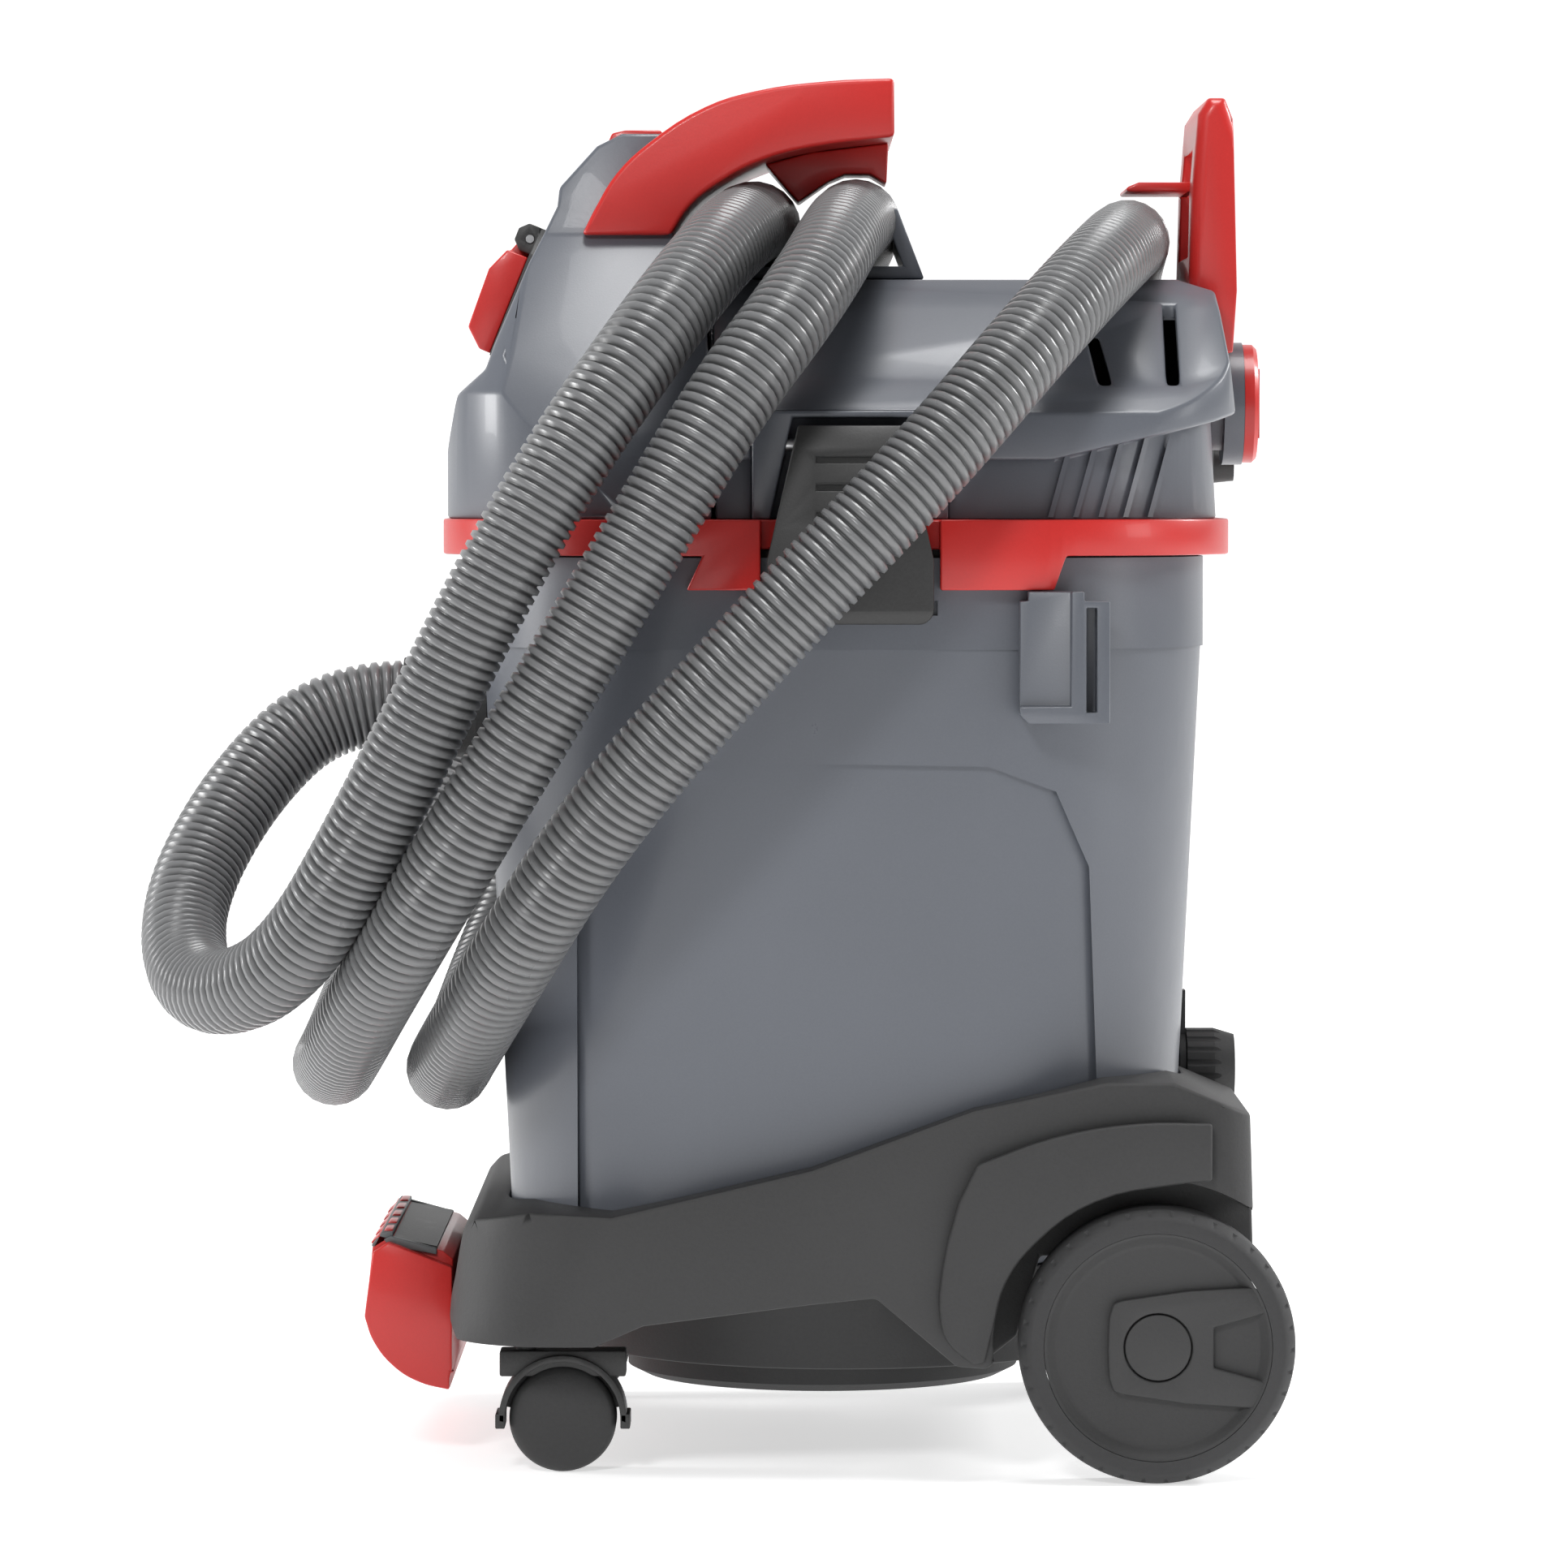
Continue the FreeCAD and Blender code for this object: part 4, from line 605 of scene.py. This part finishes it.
class VACUUM_OT_bumper(bpy.types.Operator):
    """Make the red front bumper with its grey grip strip and five red pads"""

    bl_idname = "vacuum.bumper"
    bl_label = "Front bumper"

    def execute(self, context):
        half = BUMPER_HALF
        chin = curved([(-218.6, 68), (-214.2, 56), (-204, 43.5), (-192, 36.3), (-177.6, 32.6)], 6)
        foot = [(-177.4, 38.4), (-177.0, 40.8), (-176.2, 41.4), (-176.2, 95), (-181, 99)]
        front = slab([(-212, 107), (-215, 101)] + chin + foot, -half + 9, half - 9, turn=upright())
        heel = [(-177.4, 38.4), (-177.0, 41.4), (-176.2, 41.4), (-176.2, 92)]
        ends = [slab([(-207, 104), (-214.5, 99)] + chin + heel, *sorted((way * half, way * (half - 9))),
                     turn=upright()) for way in (-1, 1)]
        for end in ends:
            soften(end, 1.2, 2, 25)
        soften(front, 0.8, 2, 25)
        piece("bumper_shell", joined(front, *ends), "machine", "red_satin", ["front_bumper"], 40)

        # A thin black sheet laid over the top between the strip's arms: painted shade, standing for the dark
        # hollow of the bumper's top.
        shade_sheet = slab([(-206, 103.4), (-184, 99.6), (-184, 101.0), (-206, 105.4)], -half + 12, half - 12,
                    turn=upright())
        piece("bumper_hollow_shade", shade_sheet, "machine", "black_nylon", (), 40)

        strip = slab([(-210.5, 107.9), (-215.6, 101.6), (-214.2, 100.6), (-205.2, 106.0), (-205.2, 107.9)],
                     -half + 9, half - 9, turn=upright(), rounding=0.4)
        arms = []
        for way in (-1, 1):
            arm = slab([(-209.5, 104.6), (-206, 106.2), (-184, 100.2), (-184, 97.4), (-207, 101.8)],
                       *sorted((way * (half - 7), way * (half - 12))), turn=upright(), rounding=0.4)
            arms.append(arm)
        piece("bumper_strip", joined(strip, *arms), "machine", "bumper_grey",
              ["bumper_inlay"], 40)

        pads = [slab([(-209.0, 108.7), (-216.2, 102.3), (-214.8, 100.6), (-205.6, 107.2), (-205.6, 108.7)],
                     place * 35.5 - 10, place * 35.5 + 10, turn=upright(), rounding=0.5)
                for place in range(-2, 3)]
        piece("bumper_pads", joined(*pads), "machine", "red_satin", (), 40)
        return {"FINISHED"}


class VACUUM_OT_hose(bpy.types.Operator):
    """Make the ribbed suction hose along its route"""

    bl_idname = "vacuum.hose"
    bl_label = "Suction hose"

    def execute(self, context):
        sizes = settings().sizes
        curve = bpy.data.curves.new("hose_route", "CURVE")
        curve.dimensions = "3D"
        curve.resolution_u = 24
        spline = curve.splines.new("NURBS")
        spline.points.add(len(HOSE_ROUTE) - 1)
        for point, place in zip(spline.points, HOSE_ROUTE):
            point.co = (*place, 1.0)
        spline.order_u = 3
        spline.use_endpoint_u = True
        route = bpy.data.objects.new("hose_route", curve)
        context.scene.collection.objects.link(route)
        line = bpy.data.meshes.new_from_object(route)
        path = [vertex.co.copy() for vertex in line.vertices]
        length = sum((b - a).length for a, b in zip(path, path[1:]))

        pitch = length / sizes.rib_count
        crest, groove = sizes.hose_radius, sizes.hose_radius - sizes.hose_groove
        profile = ((0.0, groove), (0.16, groove), (0.36, crest), (0.80, crest), (1.0, groove))
        bm = bmesh.new()
        points = [bm.verts.new((along * pitch, 0, reach)) for along, reach in profile]
        edges = [bm.edges.new(pair) for pair in zip(points, points[1:])]
        bmesh.ops.spin(bm, geom=points + edges, cent=(0, 0, 0), axis=(1, 0, 0), angle=tau, steps=22,
                       use_merge=True)
        bmesh.ops.remove_doubles(bm, verts=bm.verts, dist=1e-6)
        bmesh.ops.recalc_face_normals(bm, faces=bm.faces)
        mesh = bpy.data.meshes.new("hose_turn")
        bm.to_mesh(mesh)
        bm.free()
        turn = bpy.data.objects.new("hose_turn", mesh)
        context.scene.collection.objects.link(turn)
        repeat = turn.modifiers.new("turns", "ARRAY")
        repeat.count = sizes.rib_count
        repeat.use_relative_offset = False
        repeat.use_constant_offset = True
        repeat.constant_offset_displace = (pitch, 0, 0)
        repeat.use_merge_vertices = True
        repeat.merge_threshold = 1e-5
        follow = turn.modifiers.new("route", "CURVE")
        follow.object = route
        context.view_layer.update()
        whole = bpy.data.meshes.new_from_object(turn.evaluated_get(context.evaluated_depsgraph_get()))
        for spare in (turn, route):
            bpy.data.objects.remove(spare)

        bm = bmesh.new()
        bm.from_mesh(whole)
        hose = piece("hose_ribbed", bm, "machine", "hose_wall", ["suction_hose"], None)
        # The crest attribute, 0 in a groove and 1 on a crest, drives the hose finish's painted groove shade
        # and painted crest highlight.
        away = hose.data.attributes.new("crest", "FLOAT", "POINT")
        tree = KDTree(len(path))
        for index, point in enumerate(path):
            tree.insert(point, index)
        tree.balance()
        shares = []
        for vertex in hose.data.vertices:
            index = tree.find(vertex.co)[1]
            first, last = path[max(index - 1, 0)], path[min(index + 1, len(path) - 1)]
            on_line = intersect_point_line(vertex.co, first, last)[0]
            shares.append(((vertex.co - on_line).length - groove) / (crest - groove))
        away.data.foreach_set("value", shares)
        return {"FINISHED"}


class VACUUM_OT_stage(bpy.types.Operator):
    """Make the floor, the lights and the camera"""

    bl_idname = "vacuum.stage"
    bl_label = "Stage"

    def execute(self, context):
        view = settings().view
        finish = Finish("pale_floor")
        finish.set(Base_Color=(0.9, 0.9, 0.9, 1), Roughness=0.9, Emission_Color=(1, 1, 1, 1),
                   Emission_Strength=0.55)
        bm = bmesh.new()
        bmesh.ops.create_grid(bm, x_segments=1, y_segments=1, size=6.0)
        back = [edge for edge in bm.edges if all(vertex.co.y > 5 for vertex in edge.verts)]
        raised = bmesh.ops.extrude_edge_only(bm, edges=back)["geom"]
        bmesh.ops.translate(bm, vec=(0, 0, 7),
                            verts=[item for item in raised if isinstance(item, bmesh.types.BMVert)])
        bend = [edge for edge in bm.edges
                if all(abs(v.co.y - 6) < 0.01 and abs(v.co.z) < 0.01 for v in edge.verts)]
        bmesh.ops.bevel(bm, geom=bend, offset=3.0, segments=16, profile=0.5, affect="EDGES", material=-1)
        mesh = bpy.data.meshes.new("floor")
        bm.to_mesh(mesh)
        bm.free()
        mesh.shade_smooth()
        mesh.materials.append(finish.material)
        floor = bpy.data.objects.new("floor", mesh)
        context.scene.collection.objects.link(floor)

        middle = Vector((view.aim_side, 0, view.aim_height))
        for name, place, width, watts in LIGHTS:
            light = bpy.data.lights.new(name, "AREA")
            light.size = width
            light.energy = watts
            lamp = bpy.data.objects.new(name, light)
            lamp.location = place
            lamp.rotation_euler = (Vector(place) - middle).to_track_quat("Z", "Y").to_euler()
            context.scene.collection.objects.link(lamp)
        world = bpy.data.worlds.new("studio")
        world.use_nodes = True
        world.node_tree.nodes["Background"].inputs["Color"].default_value = (1, 1, 1, 1)
        world.node_tree.nodes["Background"].inputs["Strength"].default_value = 0.26
        context.scene.world = world
        context.scene.view_settings.view_transform = "Standard"

        camera = bpy.data.cameras.new("camera")
        camera.lens = view.lens
        camera.sensor_width = 36.0
        stand = bpy.data.objects.new("camera", camera)
        stand.location = (view.aim_side, -view.distance, view.height)
        stand.rotation_euler = (Vector(stand.location) - middle).to_track_quat("Z", "Y").to_euler()
        context.scene.collection.objects.link(stand)
        context.scene.camera = stand
        return {"FINISHED"}


class VACUUM_PT_panel(bpy.types.Panel):
    """Buttons for each group of pieces"""

    bl_label = "Shop Vacuum"
    bl_idname = "VACUUM_PT_panel"
    bl_space_type = "VIEW_3D"
    bl_region_type = "UI"
    bl_category = "Shop Vacuum"

    def draw(self, context):
        for group in (settings().sizes, settings().colours, settings().view):
            box = self.layout.box()
            for name in group.bl_rna.properties.keys():
                if name not in {"rna_type", "name"}:
                    box.prop(group, name)
        for operator in OPERATORS:
            self.layout.operator(operator.bl_idname)


OPERATORS = (VACUUM_OT_finishes, VACUUM_OT_hose, VACUUM_OT_mouldings, VACUUM_OT_wheels, VACUUM_OT_casters,
             VACUUM_OT_bumper, VACUUM_OT_stage)
CLASSES = (VacuumSizes, VacuumColours, VacuumView, VacuumSettings, *OPERATORS, VACUUM_PT_panel)


def register():
    for kind in CLASSES:
        bpy.utils.register_class(kind)
    bpy.types.Scene.vacuum = PointerProperty(type=VacuumSettings)


def unregister():
    del bpy.types.Scene.vacuum
    for kind in reversed(CLASSES):
        bpy.utils.unregister_class(kind)


def main():
    """Make every piece in order."""
    register()
    for operator in OPERATORS:
        group, name = operator.bl_idname.split(".")
        getattr(getattr(bpy.ops, group), name)()


if __name__ == "__main__":
    main()
